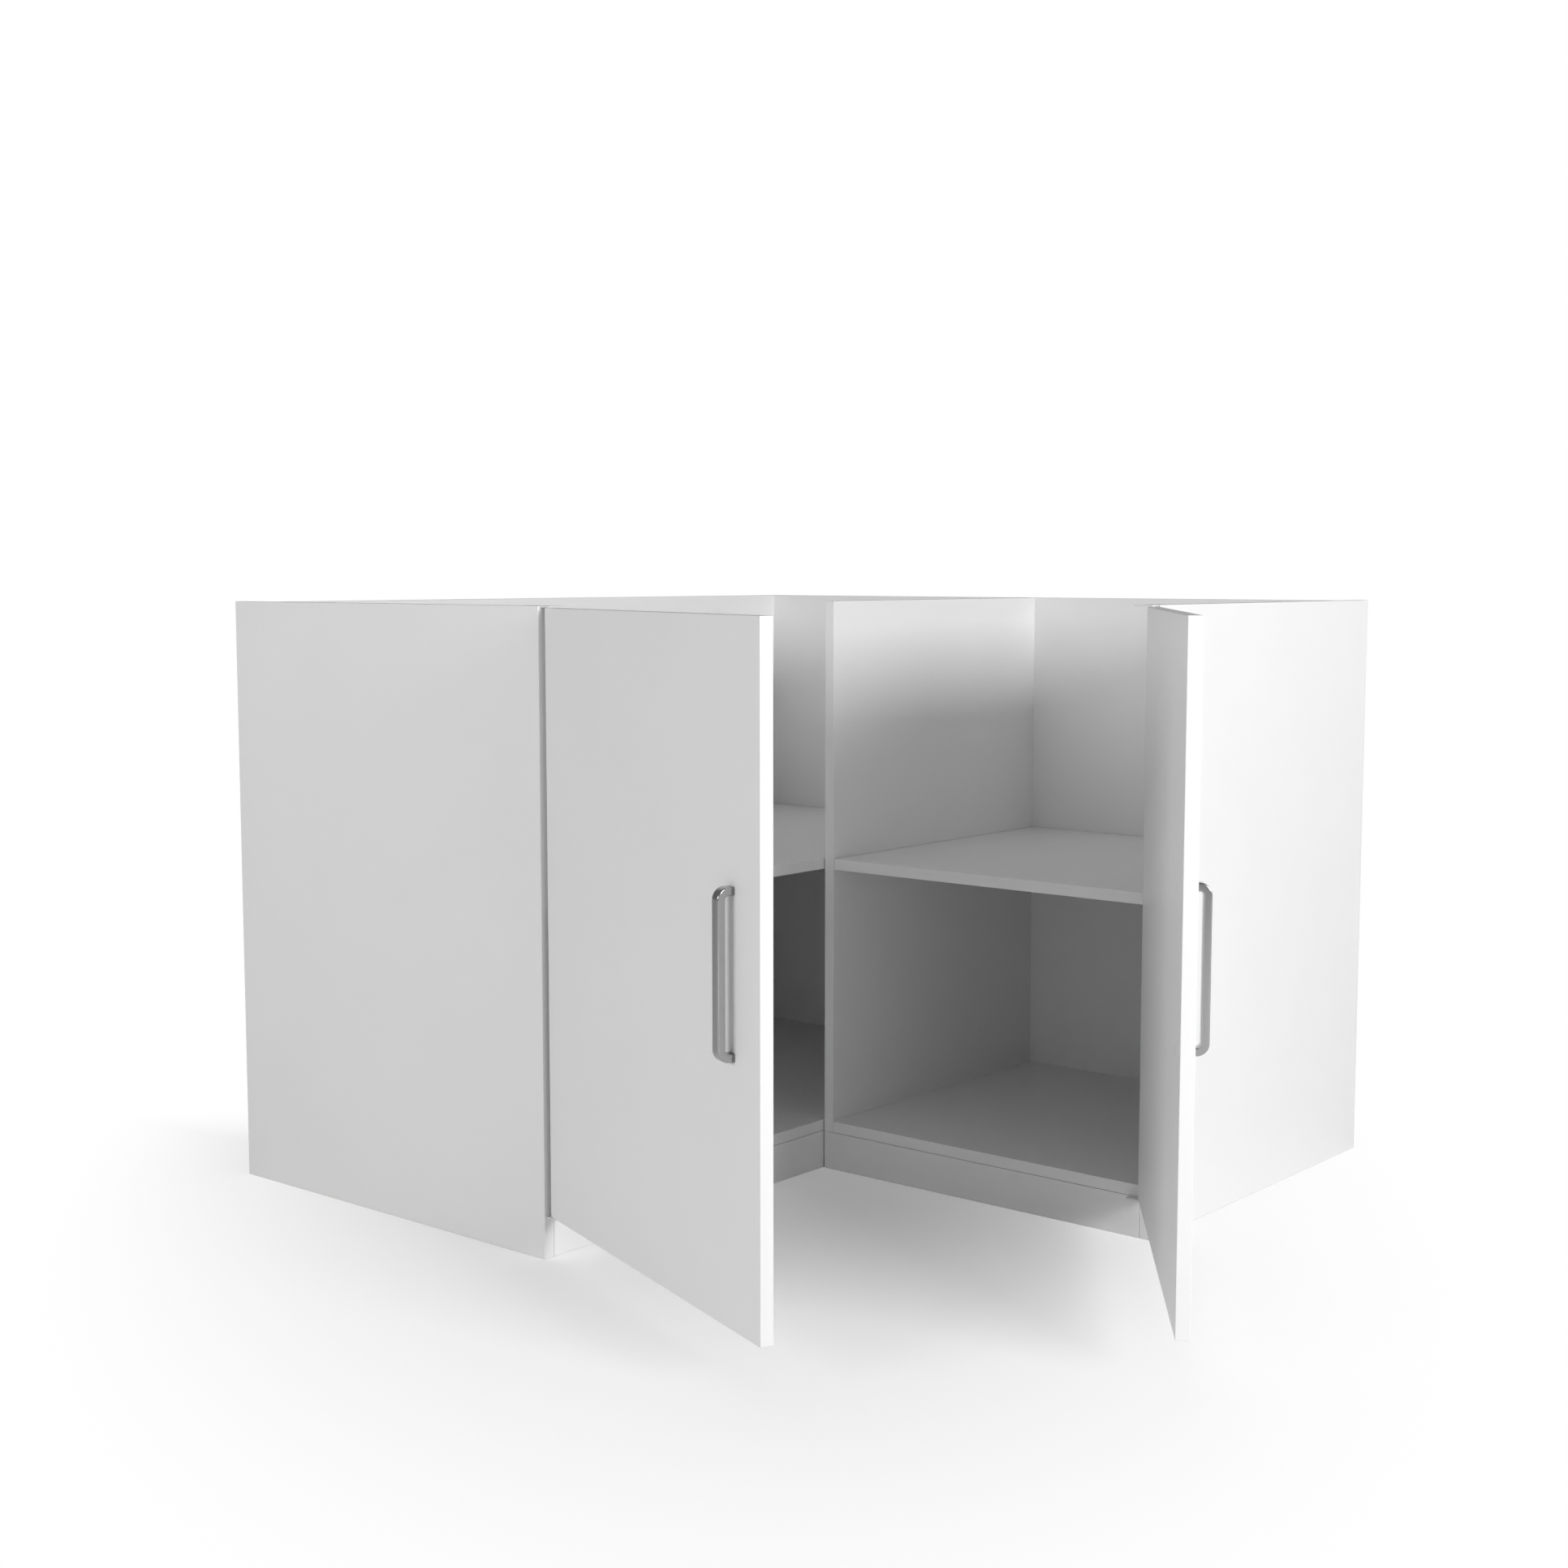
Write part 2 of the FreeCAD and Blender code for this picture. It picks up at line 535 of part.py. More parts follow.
def right_back_panel():
    low = Vector(LEFT_BACK_INNER_X, RIGHT_BACK_INNER_Y, 0)
    high = Vector(RIGHT_INNER_X, RIGHT_BACK_INNER_Y + BOARD, HEIGHT)
    solid = board(low, high, [UP])
    return cut_all(solid, fitting_bores("right_back_panel") + shelf_pin_bores("right_back_panel"))


def left_bottom_panel():
    low = Vector(LEFT_BACK_INNER_X, LEFT_INNER_Y, PLINTH_HEIGHT)
    high = Vector(LEFT_FRONT_X, RIGHT_BACK_INNER_Y, BOTTOM_TOP)
    return cut_all(board(low, high, [RIGHTWARD]), fitting_bores("left_bottom_panel"))


def right_bottom_panel():
    low = Vector(BOARD, 0, PLINTH_HEIGHT)
    high = Vector(RIGHT_INNER_X, RIGHT_BACK_INNER_Y, BOTTOM_TOP)
    return cut_all(board(low, high, [FORWARD]), fitting_bores("right_bottom_panel"))


def left_shelf():
    low = Vector(LEFT_BACK_INNER_X + SHELF_CLEARANCE, LEFT_INNER_Y + SHELF_CLEARANCE, SHELF_UNDERSIDE)
    high = Vector(LEFT_FRONT_X, RIGHT_BACK_INNER_Y - SHELF_CLEARANCE, SHELF_UNDERSIDE + BOARD)
    return board(low, high, [RIGHTWARD])


def right_shelf():
    low = Vector(BOARD + SHELF_CLEARANCE, 0, SHELF_UNDERSIDE)
    high = Vector(RIGHT_INNER_X - SHELF_CLEARANCE, RIGHT_BACK_INNER_Y - SHELF_CLEARANCE,
                  SHELF_UNDERSIDE + BOARD)
    return board(low, high, [FORWARD])


def left_plinth():
    low = Vector(LEFT_FRONT_X - BOARD, LEFT_INNER_Y + PLINTH_JOINT_GAP, 0)
    high = Vector(LEFT_FRONT_X, BOARD, PLINTH_TOP)
    return cut_all(board(low, high, [RIGHTWARD]), [place_left(bracket_notch())] + fitting_bores("left_plinth"))


def right_plinth():
    high = Vector(RIGHT_INNER_X - PLINTH_JOINT_GAP, BOARD, PLINTH_TOP)
    solid = board(Vector(0, 0, 0), high, [FORWARD])
    return cut_all(solid, [place_right(bracket_notch())] + fitting_bores("right_plinth"))


# Doors, drawn closed in the hinge frame
def handle_heights():
    """Heights of a handle's two legs."""
    half = HANDLE_HOLE_SPACING / 2
    return (HANDLE_CENTRE_HEIGHT - half, HANDLE_CENTRE_HEIGHT + half)


def door(pivot, free_v):
    """Slab door from its hinge edge to free_v, bored for the bushes and the handle's sunk screws."""
    low = Vector(DOOR_FRONT_GAP, DOOR_SIDE_REVEAL, DOOR_BOTTOM)
    high = Vector(DOOR_FACE, free_v, DOOR_TOP)
    slab = board(low, high, [LEFTWARD, RIGHTWARD, FORWARD, BACKWARD])
    depth = PIN_DEPTH + BUSH_END_ROOM
    upper_bore = rod(PIN_RADIUS + BUSH_WALL, pivot + UP * (DOOR_TOP - depth), UP, depth + CUT_OVERRUN)
    bores = [upper_bore, door_to_lower(upper_bore)]
    for height in handle_heights():
        start = Vector(DOOR_FRONT_GAP - CUT_OVERRUN, free_v - HANDLE_FROM_FREE_EDGE, height)
        steps = (
            (HANDLE_SCREW_RADIUS + HANDLE_SCREW_CLEARANCE, DOOR_THICKNESS + CUT_OVERRUN),
            (HANDLE_SCREW_HEAD_RADIUS + HANDLE_SCREW_HEAD_ROOM, HANDLE_SCREW_SEAT),
            (HANDLE_CAP_RADIUS + HANDLE_CAP_CLEARANCE, HANDLE_CAP_THICKNESS),
        )
        bores.extend(rod(radius, start, RIGHTWARD, CUT_OVERRUN + depth) for radius, depth in steps)
    return slab.cut(bores)


def handle(free_v):
    """Square bow handle: a bar with two bent legs, all long edges rounded."""
    middle = free_v - HANDLE_FROM_FREE_EDGE
    low_z, high_z = handle_heights()
    bottom = low_z - HANDLE_BAR_THICKNESS / 2
    top = high_z + HANDLE_BAR_THICKNESS / 2
    near = middle - HANDLE_BAR_WIDTH / 2
    face = DOOR_FACE
    front = DOOR_FACE + HANDLE_PROJECTION

    def outline(left, right, low, high, radius):
        """Rectangle open to the door with its two front corners rounded, as a closed face."""
        turn = radius * (1 - math.sqrt(0.5))
        points = [Vector(left, near, low), Vector(right - radius, near, low),
                  Vector(right, near, low + radius), Vector(right, near, high - radius),
                  Vector(right - radius, near, high), Vector(left, near, high)]
        edges = [
            Part.makeLine(points[0], points[1]),
            Part.Arc(points[1], Vector(right - turn, near, low + turn), points[2]).toShape(),
            Part.makeLine(points[2], points[3]),
            Part.Arc(points[3], Vector(right - turn, near, high - turn), points[4]).toShape(),
            Part.makeLine(points[4], points[5]),
            Part.makeLine(points[5], points[0]),
        ]
        return Part.Face(Part.Wire(edges))

    outside = outline(face, front, bottom, top, HANDLE_BEND_RADIUS).extrude(BACKWARD * HANDLE_BAR_WIDTH)
    inside = outline(face - CUT_OVERRUN, front - HANDLE_BAR_THICKNESS, bottom + HANDLE_BAR_THICKNESS,
                     top - HANDLE_BAR_THICKNESS, HANDLE_BEND_RADIUS - HANDLE_BAR_THICKNESS)
    bow = outside.cut(inside.extrude(BACKWARD * HANDLE_BAR_WIDTH))
    long_edges = []
    for edge in bow.Edges:
        flat = abs(edge.BoundBox.YMin - edge.BoundBox.YMax) < HANDLE_EDGE_ROUND / 2
        on_door = edge.BoundBox.XMax < face + HANDLE_EDGE_ROUND / 2
        if flat and not on_door:
            long_edges.append(edge)
    bow = bow.makeFillet(HANDLE_EDGE_ROUND, long_edges)
    holes = [rod(HANDLE_SCREW_RADIUS, Vector(face - CUT_OVERRUN, middle, height), RIGHTWARD,
                 CUT_OVERRUN + HANDLE_SCREW_IN_HANDLE) for height in handle_heights()]
    return bow.cut(holes)


def handle_screws(free_v):
    """Pan-headed screws through the door into the handle's legs, heads sunk in the door's back."""
    screws = []
    for height in handle_heights():
        seat = Vector(DOOR_FRONT_GAP + HANDLE_SCREW_SEAT, free_v - HANDLE_FROM_FREE_EDGE, height)
        length = DOOR_THICKNESS - HANDLE_SCREW_SEAT + HANDLE_SCREW_IN_HANDLE
        shank = rod(HANDLE_SCREW_RADIUS, seat, RIGHTWARD, length)
        head = rod(HANDLE_SCREW_HEAD_RADIUS, seat, LEFTWARD, HANDLE_SCREW_HEAD_HEIGHT)
        rim = [edge for edge in head.Edges if edge.BoundBox.XMax < seat.x - HANDLE_SCREW_HEAD_HEIGHT / 2
               and len(edge.Vertexes) == 1]
        head = head.makeFillet(HANDLE_SCREW_HEAD_HEIGHT / 2, rim)
        reach = HANDLE_SCREW_HEAD_RADIUS / 2
        slots = []
        for half_v, half_z in ((reach, HANDLE_SCREW_DRIVE / 2), (HANDLE_SCREW_DRIVE / 2, reach)):
            low = seat + Vector(-HANDLE_SCREW_HEAD_HEIGHT - CUT_OVERRUN, -half_v, -half_z)
            high = seat + Vector(-HANDLE_SCREW_HEAD_HEIGHT / 2, half_v, half_z)
            slots.append(box(low, high))
        screws.append(shank.fuse(head).cut(slots))
    return screws


def handle_screw_caps(free_v):
    """Round caps over the handle's screws, flush with the door's back and seated on the pockets' steps."""
    caps = []
    for height in handle_heights():
        start = Vector(DOOR_FRONT_GAP, free_v - HANDLE_FROM_FREE_EDGE, height)
        cap = rod(HANDLE_CAP_RADIUS, start, RIGHTWARD, HANDLE_CAP_THICKNESS)
        rim = [edge for edge in cap.Edges if edge.BoundBox.XMax < start.x + HANDLE_CAP_THICKNESS / 2
               and len(edge.Vertexes) == 1]
        caps.append(cap.makeFillet(HANDLE_CAP_ROUND, rim))
    return caps


def door_side(side, place, pivot, free_v, angle):
    """Door, handle and hinge pieces of one wing, by node name."""
    def swung(shape):
        """Moves a closed door's piece to where it stands open on its wing."""
        return place(opened(shape, pivot, angle))

    upper_screws = upper_bracket_screws()
    lower_screws = [lowered(screw) for screw in upper_screws]
    bush = upper_bush(pivot)
    bracket = upper_bracket(pivot)
    return {
        side + "_door": swung(door(pivot, free_v)),
        side + "_handle": swung(handle(free_v)),
        side + "_handle_screws": group([swung(screw) for screw in handle_screws(free_v)]),
        side + "_handle_screw_caps": group([swung(cap) for cap in handle_screw_caps(free_v)]),
        side + "_door_bushes": group([swung(bush), swung(door_to_lower(bush))]),
        side + "_upper_pivot_bracket": place(bracket),
        side + "_lower_pivot_bracket": place(lowered(bracket)),
        side + "_pivot_pins": group([place(upper_pin(pivot)), place(lower_pin(pivot))]),
        side + "_bracket_screws": group([place(screw) for screw in upper_screws + lower_screws]),
    }


def group(solids):
    """Separate solids that share one node."""
    return Part.makeCompound(solids)


def wing_fittings(wing):
    """One wing's dowels, cam bolts and cams, by node name."""
    items = [item for item in FITTINGS if item["wing"] == wing]
    with_dowel = [item for item in items if dowel_place(item) is not None]
    with_cam = [item for item in items if item["cam_side"] is not None]
    return {
        wing + "_wing_dowels": group([dowel(item) for item in with_dowel]),
        wing + "_wing_cam_bolts": group([cam_bolt(item) for item in with_cam]),
        wing + "_wing_cams": group([cam(item) for item in with_cam]),
    }


def all_parts():
    """Every sub-part by node name."""
    parts = {
        "left_end_panel": left_end_panel(),
        "right_end_panel": right_end_panel(),
        "partition_panel": partition_panel(),
        "left_back_panel": left_back_panel(),
        "right_back_panel": right_back_panel(),
        "left_bottom_panel": left_bottom_panel(),
        "right_bottom_panel": right_bottom_panel(),
        "left_shelf": left_shelf(),
        "right_shelf": right_shelf(),
        "left_plinth": left_plinth(),
        "right_plinth": right_plinth(),
        "left_shelf_pins": group([shelf_pin(place, out) for _, place, out in left_shelf_pin_places()]),
        "right_shelf_pins": group([shelf_pin(place, out) for _, place, out in right_shelf_pin_places()]),
    }
    parts.update(door_side("left", place_left, LEFT_PIVOT, LEFT_DOOR_FREE_V, LEFT_REST_ANGLE))
    parts.update(door_side("right", place_right, RIGHT_PIVOT, RIGHT_DOOR_FREE_V, RIGHT_REST_ANGLE))
    parts.update(wing_fittings("left"))
    parts.update(wing_fittings("right"))
    return parts


def main():
    """Writes one STEP file for each sub-part."""
    os.makedirs("parts", exist_ok=True)
    for name, shape in all_parts().items():
        shape.exportStep("parts/" + name + ".step")
        bounds = shape.BoundBox
        print(name, "solids", len(shape.Solids), "valid", shape.isValid(), "volume", round(shape.Volume),
              "Z", round(bounds.ZMin, 2), round(bounds.ZMax, 2))


main()
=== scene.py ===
"""Corner kitchen cabinet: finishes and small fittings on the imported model, with its stage."""
import json
import math

import bpy
from bpy.props import FloatProperty, FloatVectorProperty, IntProperty, PointerProperty
from mathutils import Matrix, Vector


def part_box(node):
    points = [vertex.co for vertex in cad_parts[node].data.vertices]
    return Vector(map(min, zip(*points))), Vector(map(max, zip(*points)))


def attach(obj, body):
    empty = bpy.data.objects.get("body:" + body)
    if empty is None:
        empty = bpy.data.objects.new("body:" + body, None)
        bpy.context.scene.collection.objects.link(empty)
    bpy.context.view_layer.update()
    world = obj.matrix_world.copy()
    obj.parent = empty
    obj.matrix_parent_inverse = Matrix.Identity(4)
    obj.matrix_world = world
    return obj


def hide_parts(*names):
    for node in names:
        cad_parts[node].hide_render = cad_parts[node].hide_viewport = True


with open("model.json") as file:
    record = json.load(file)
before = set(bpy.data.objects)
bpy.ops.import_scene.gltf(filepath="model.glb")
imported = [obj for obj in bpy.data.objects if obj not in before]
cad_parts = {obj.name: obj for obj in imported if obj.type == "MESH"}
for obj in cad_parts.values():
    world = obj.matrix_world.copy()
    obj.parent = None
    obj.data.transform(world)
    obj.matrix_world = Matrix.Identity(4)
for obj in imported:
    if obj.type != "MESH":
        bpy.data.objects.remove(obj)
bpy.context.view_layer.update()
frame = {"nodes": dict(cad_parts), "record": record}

bl_info = {
    "name": "Corner Kitchen Cabinet",
    "version": (1, 0, 0),
    "blender": (4, 5, 0),
    "location": "View3D > Sidebar > Cabinet",
    "description": "Dresses a white corner base cabinet with its handles, fittings and finishes",
    "category": "Object",
}

JOINTS = {joint["name"]: joint for joint in frame["record"]["behaviour"]["joints"]}
MM = 0.001
# The camera frame's width in millimetres, and the floor's radius in metres
FRAME_WIDTH = 36.0
FLOOR_RADIUS = 30.0
FLOOR_SIDES = 64

# A noise's values lie mostly between these
NOISE_MIDDLE = {"From Min": 0.3, "From Max": 0.7}

# How near a point lies to a board's end to count as on that edge
EDGE_REACH = 0.15 * MM

# Boards by node, with their bare edges: pairs of an axis and the board's low (0) or high (1) end on it
BARE_EDGES = {
    "left_end_panel": ((0, 0), (2, 0)),
    "right_end_panel": ((1, 1), (2, 0)),
    "partition_panel": ((2, 0),),
    "left_back_panel": ((2, 0), (1, 1)),
    "right_back_panel": ((2, 0),),
    "left_bottom_panel": (),
    "right_bottom_panel": (),
    "left_shelf": (),
    "right_shelf": (),
    "left_plinth": ((2, 0),),
    "right_plinth": ((2, 0),),
    "left_door": (),
    "right_door": (),
}

# Each door: where its face looks when closed, its sideways direction, and the turn in degrees to
# its resting place
DOORS = {
    "left": {"out": Vector((1, 0, 0)), "side": Vector((0, 1, 0)), "turn": -110.0},
    "right": {"out": Vector((0, -1, 0)), "side": Vector((1, 0, 0)), "turn": 125.0},
}


def linear(hex_colour):
    """Linear RGBA of an sRGB hex colour."""
    values = [int(hex_colour[i:i + 2], 16) / 255 for i in (1, 3, 5)]
    return [v / 12.92 if v <= 0.04045 else ((v + 0.055) / 1.055) ** 2.4 for v in values] + [1.0]


def darker(tint, share):
    """A share of a linear colour, with its alpha whole."""
    return [share * value for value in tint[:3]] + [1.0]


def colour(name, description, hex_colour):
    """Colour property for a finish."""
    return FloatVectorProperty(name=name, description=description, subtype="COLOR", size=4,
                               min=0.0, max=1.0, default=linear(hex_colour))


def length(name, description, millimetres):
    """Length property, whose default is given in millimetres."""
    return FloatProperty(name=name, description=description, subtype="DISTANCE", unit="LENGTH",
                         default=millimetres * MM, min=0.0)


def watts(name, description, power):
    """Lamp power property."""
    return FloatProperty(name=name, description=description, subtype="POWER", unit="POWER",
                         default=power, min=0.0)


class BoardFinish(bpy.types.PropertyGroup):
    """White melamine-faced chipboard and its bare edges."""
    face: colour("Face", "Colour of the melamine face", "#F6F6F6")
    shade: colour("Face shade", "Slightly deeper tone that clouds the face", "#F2F2F2")
    chip: colour("Chip", "Light wood chips at a bare edge", "#CDB081")
    chip_dark: colour("Dark chip", "Dark wood chips at a bare edge", "#94704A")
    press_grain: length("Press grain", "Size of the pearl grain pressed into the face", 2.6)
    chip_size: length("Chip size", "Size of one wood chip", 2.4)


class HandleSizes(bpy.types.PropertyGroup):
    """Square bow handle."""
    metal: colour("Metal", "Satin nickel plating", "#BABABA")
    width: length("Bar width", "Bar's width across the door", 13.5)
    thickness: length("Bar thickness", "Bar's thickness away from the door", 9.5)
    bend: length("Bend radius", "Radius of the outside of each bend", 14.0)
    edge: length("Edge radius", "Radius of the bar's long edges", 1.6)
    bend_steps: IntProperty(name="Bend steps", description="Faces round each bend", default=12, min=2)
    edge_steps: IntProperty(name="Edge steps", description="Faces round each long edge", default=4, min=1)


class FittingSizes(bpy.types.PropertyGroup):
    """Brackets, screws, pins and other small fittings."""
    coating: colour("Coating", "White powder coating of the brackets", "#E6E6E6")
    cap: colour("Cap", "White plastic caps over the handle screws", "#ECECEC")
    steel: colour("Steel", "Zinc-plated steel", "#B3B5B8")
    cast: colour("Cast zinc", "Die-cast cam housings", "#8C8F93")
    beech: colour("Beech", "Light wood of the dowels", "#D3B183")
    beech_dark: colour("Beech grain", "Grain of the dowels", "#B58C5C")
    nylon: colour("Nylon", "Hinge bushes", "#E4E3DE")
    bracket_shank: length("Bracket screw shank", "Shank radius of a bracket screw", 1.75)
    bracket_head: length("Bracket screw head", "Head radius of a bracket screw", 3.4)
    bracket_sink: length("Bracket screw sink", "Height of a countersunk head", 2.0)
    bracket_length: length("Bracket screw length", "Length of a bracket screw", 13.0)
    recess: length("Recess width", "Width of the slots of a cross recess", 1.0)
    pin_radius: length("Shelf pin radius", "Radius of a shelf pin", 2.5)
    pin_length: length("Shelf pin length", "Whole length of a shelf pin", 18.0)
    pin_tip: length("Shelf pin tip", "Length of the tapered tip", 1.0)


class StageSettings(bpy.types.PropertyGroup):
    """Camera, light and floor."""
    camera_place: FloatVectorProperty(name="Camera", description="Where the camera stands", size=3,
                                      subtype="TRANSLATION", unit="LENGTH",
                                      default=(1.9498, -2.4178, 0.8681))
    camera_heading: FloatProperty(name="Heading", description="Camera's turn from +Y towards -X",
                                  subtype="ANGLE", default=math.radians(39.97))
    camera_pitch: FloatProperty(name="Pitch", description="How far the camera looks down",
                                subtype="ANGLE", default=math.radians(5.61))
    camera_lens: FloatProperty(name="Lens", description="Focal length on a 36 mm wide frame",
                               subtype="DISTANCE_CAMERA", default=49.88)
    fill: FloatProperty(name="Fill", description="Strength of the even white light", default=0.285, min=0.0)
    mirrored_dark: FloatProperty(name="Mirrored dark side", default=0.18, min=0.0,
                                 description="Brightness of the studio's dim side in metal")
    mirrored_light: FloatProperty(name="Mirrored light side", default=1.0, min=0.0,
                                  description="Brightness of the studio's pale wall in metal")
    wall_heading: FloatProperty(name="Pale wall heading", subtype="ANGLE", default=math.radians(50),
                                description="Where that wall stands, from +X towards +Y")
    right_lamp: watts("Right lamp", "Power of the soft lamp that faces the left wing's doorway", 120.0)
    right_heading: FloatProperty(name="Right lamp heading", description="Its turn from +X towards -Y",
                                 subtype="ANGLE", default=math.radians(12))
    front_lamp: watts("Front lamp", "Power of the soft lamp that faces the left end panel", 51.0)
    front_heading: FloatProperty(name="Front lamp heading", description="Its turn from +X towards -Y",
                                 subtype="ANGLE", default=math.radians(96))
    lamp_distance: length("Lamp distance", "From the inside corner to each lamp", 4500.0)
    lamp_middle: length("Lamp middle", "Height of each lamp's middle above the floor", 1650.0)
    lamp_width: length("Lamp width", "Width of each lamp", 2000.0)
    lamp_height: length("Lamp height", "Height of each lamp", 1100.0)
    floor_colour: colour("Floor", "Pale studio floor", "#F8F8F8")
    floor_lift: FloatProperty(name="Floor lift", default=0.135, min=0.0, max=1.0, subtype="FACTOR",
                              description="Plain white that the camera sees on top of the floor")
    floor_middle: FloatVectorProperty(name="Floor middle", size=3, subtype="TRANSLATION", unit="LENGTH",
                                      description="Middle of the oval in which the floor shows",
                                      default=(-0.275, 0.119, 0.0))
    floor_heading: FloatProperty(name="Floor heading", description="Turn of the oval's long axis from +X",
                                 subtype="ANGLE", default=math.radians(-46))
    floor_breadth: FloatProperty(name="Floor breadth", default=0.533, min=0.0, max=1.0, subtype="FACTOR",
                                 description="The oval's breadth as a share of its length")
    floor_clear: length("Floor clear", "Reach along the oval at which the floor starts to turn white", 538.0)
    floor_white: length("Floor white", "Reach along the oval at which the floor is all white", 1912.0)
    far_heading: FloatProperty(name="Far side heading", subtype="ANGLE", default=math.radians(55),
                               description="Towards the floor's far side, from +Y towards -X")
    far_clear: FloatProperty(name="Far side clear", subtype="DISTANCE", unit="LENGTH", default=-0.044,
                             description="Where the floor starts to turn white on its far side")
    far_white: FloatProperty(name="Far side white", subtype="DISTANCE", unit="LENGTH", default=0.606,
                             description="Where the floor is all white on its far side")


# Materials
def add(tree, kind, inputs=None, **settings):
    """Adds a node; an input given a socket is linked, and any other input gets the value."""
    node = tree.nodes.new(kind)
    for name, value in settings.items():
        setattr(node, name, value)
    for name, value in (inputs or {}).items():
        if isinstance(value, bpy.types.NodeSocket):
            tree.links.new(value, node.inputs[name])
        else:
            node.inputs[name].default_value = value
    return node


def new_material(name):
    """Empty node material and its tree."""
    material = bpy.data.materials.new(name)
    material.use_nodes = True
    material.node_tree.nodes.clear()
    return material, material.node_tree


def melamine(node_name, finish):
    """White melamine-faced chipboard: a decor paper pressed with resin against a pearl-grained plate.

    The eye gets a soft white that is never quite even, a broad satin sheen broken by fine grain, and
    bare wood chips where an edge was left without its band.
    """
    material, tree = new_material("melamine_faced_chipboard_" + node_name)
    place = add(tree, "ShaderNodeTexCoord").outputs["Object"]
    # Clouding of the white, about 150 mm across
    cloud = add(tree, "ShaderNodeTexNoise", {"Vector": place, "Scale": 1 / (150 * MM), "Detail": 3.0})
    face = add(tree, "ShaderNodeMix", {"Factor": cloud.outputs["Fac"], "A": finish.face, "B": finish.shade},
               data_type="RGBA")
    # Real pearl grain is under 1 mm wide, so it is drawn coarser to show in the render
    grain = add(tree, "ShaderNodeTexNoise", {"Vector": place, "Scale": 1 / finish.press_grain, "Detail": 2.0,
                                             "Roughness": 0.55})
    sheen = add(tree, "ShaderNodeMapRange", {"Value": grain.outputs["Fac"], **NOISE_MIDDLE,
                                             "To Min": 0.36, "To Max": 0.46})
    colour_out, rough_out = face.outputs["Result"], sheen.outputs["Result"]
    bump_height = grain.outputs["Fac"]
    mask = bare_mask(tree, node_name, place)
    if mask is not None:
        # Chips lie flat in the board; each is drawn as an unstretched cell about the size given
        chips = add(tree, "ShaderNodeTexVoronoi", {"Vector": place, "Scale": 1 / finish.chip_size,
                                                   "Randomness": 1.0})
        spread = add(tree, "ShaderNodeSeparateColor", {"Color": chips.outputs["Color"]})
        wood = add(tree, "ShaderNodeMix", {"Factor": spread.outputs["Red"], "A": finish.chip,
                                           "B": finish.chip_dark}, data_type="RGBA")
        both = add(tree, "ShaderNodeMix", {"Factor": mask, "A": colour_out, "B": wood.outputs["Result"]},
                   data_type="RGBA")
        rough = add(tree, "ShaderNodeMix", {"Factor": mask, "A": rough_out, "B": 0.85}, data_type="FLOAT")
        height = add(tree, "ShaderNodeMix", {"Factor": mask, "A": bump_height,
                                             "B": chips.outputs["Distance"]}, data_type="FLOAT")
        colour_out, rough_out, bump_height = both.outputs[2], rough.outputs[0], height.outputs[0]
    bump = add(tree, "ShaderNodeBump", {"Height": bump_height, "Strength": 0.18, "Distance": 0.05 * MM})
    shader = add(tree, "ShaderNodeBsdfPrincipled", {"Base Color": colour_out, "Roughness": rough_out,
                                                    "Normal": bump.outputs["Normal"], "IOR": 1.5})
    add(tree, "ShaderNodeOutputMaterial", {"Surface": shader.outputs["BSDF"]})
    return material


def bare_mask(tree, node_name, place):
    """1 on a board's bare edges and 0 elsewhere, or None where all its edges are banded."""
    low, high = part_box(node_name)
    parts = add(tree, "ShaderNodeSeparateXYZ", {"Vector": place})
    mask = None
    for axis, end in BARE_EDGES[node_name]:
        plane = (low, high)[end][axis]
        near = add(tree, "ShaderNodeMath", {0: parts.outputs[axis], 1: plane, 2: EDGE_REACH},
                   operation="COMPARE")
        mask = near.outputs[0] if mask is None else add(
            tree, "ShaderNodeMath", {0: mask, 1: near.outputs[0]}, operation="MAXIMUM").outputs[0]
    return mask


def satin_nickel(finish):
    """Satin nickel on die-cast zinc: brushed lengthways before plating.

    The eye gets a plain mid grey with soft, long highlights and faint upright brush lines.
    """
    material, tree = new_material("satin_nickel_plated_zinc")
    place = add(tree, "ShaderNodeTexCoord").outputs["Object"]
    # Brush lines of about 0.3 mm are drawn 0.8 mm wide and 60 mm long to show
    along = add(tree, "ShaderNodeMapping", {"Vector": place,
                                            "Scale": (1 / (0.8 * MM), 1 / (0.8 * MM), 1 / (60 * MM))})
    lines = add(tree, "ShaderNodeTexNoise", {"Vector": along.outputs["Vector"], "Scale": 1.0, "Detail": 3.0})
    rough = add(tree, "ShaderNodeMapRange", {"Value": lines.outputs["Fac"], **NOISE_MIDDLE,
                                             "To Min": 0.15, "To Max": 0.23})
    tone = add(tree, "ShaderNodeMix", {"Factor": lines.outputs["Fac"], "A": finish.metal,
                                       "B": darker(finish.metal, 0.94)}, data_type="RGBA")
    bump = add(tree, "ShaderNodeBump", {"Height": lines.outputs["Fac"], "Strength": 0.12,
                                        "Distance": 0.02 * MM})
    shader = add(tree, "ShaderNodeBsdfPrincipled", {"Base Color": tone.outputs["Result"], "Metallic": 1.0,
                                                    "Roughness": rough.outputs["Result"],
                                                    "Normal": bump.outputs["Normal"]})
    add(tree, "ShaderNodeOutputMaterial", {"Surface": shader.outputs["BSDF"]})
    return material


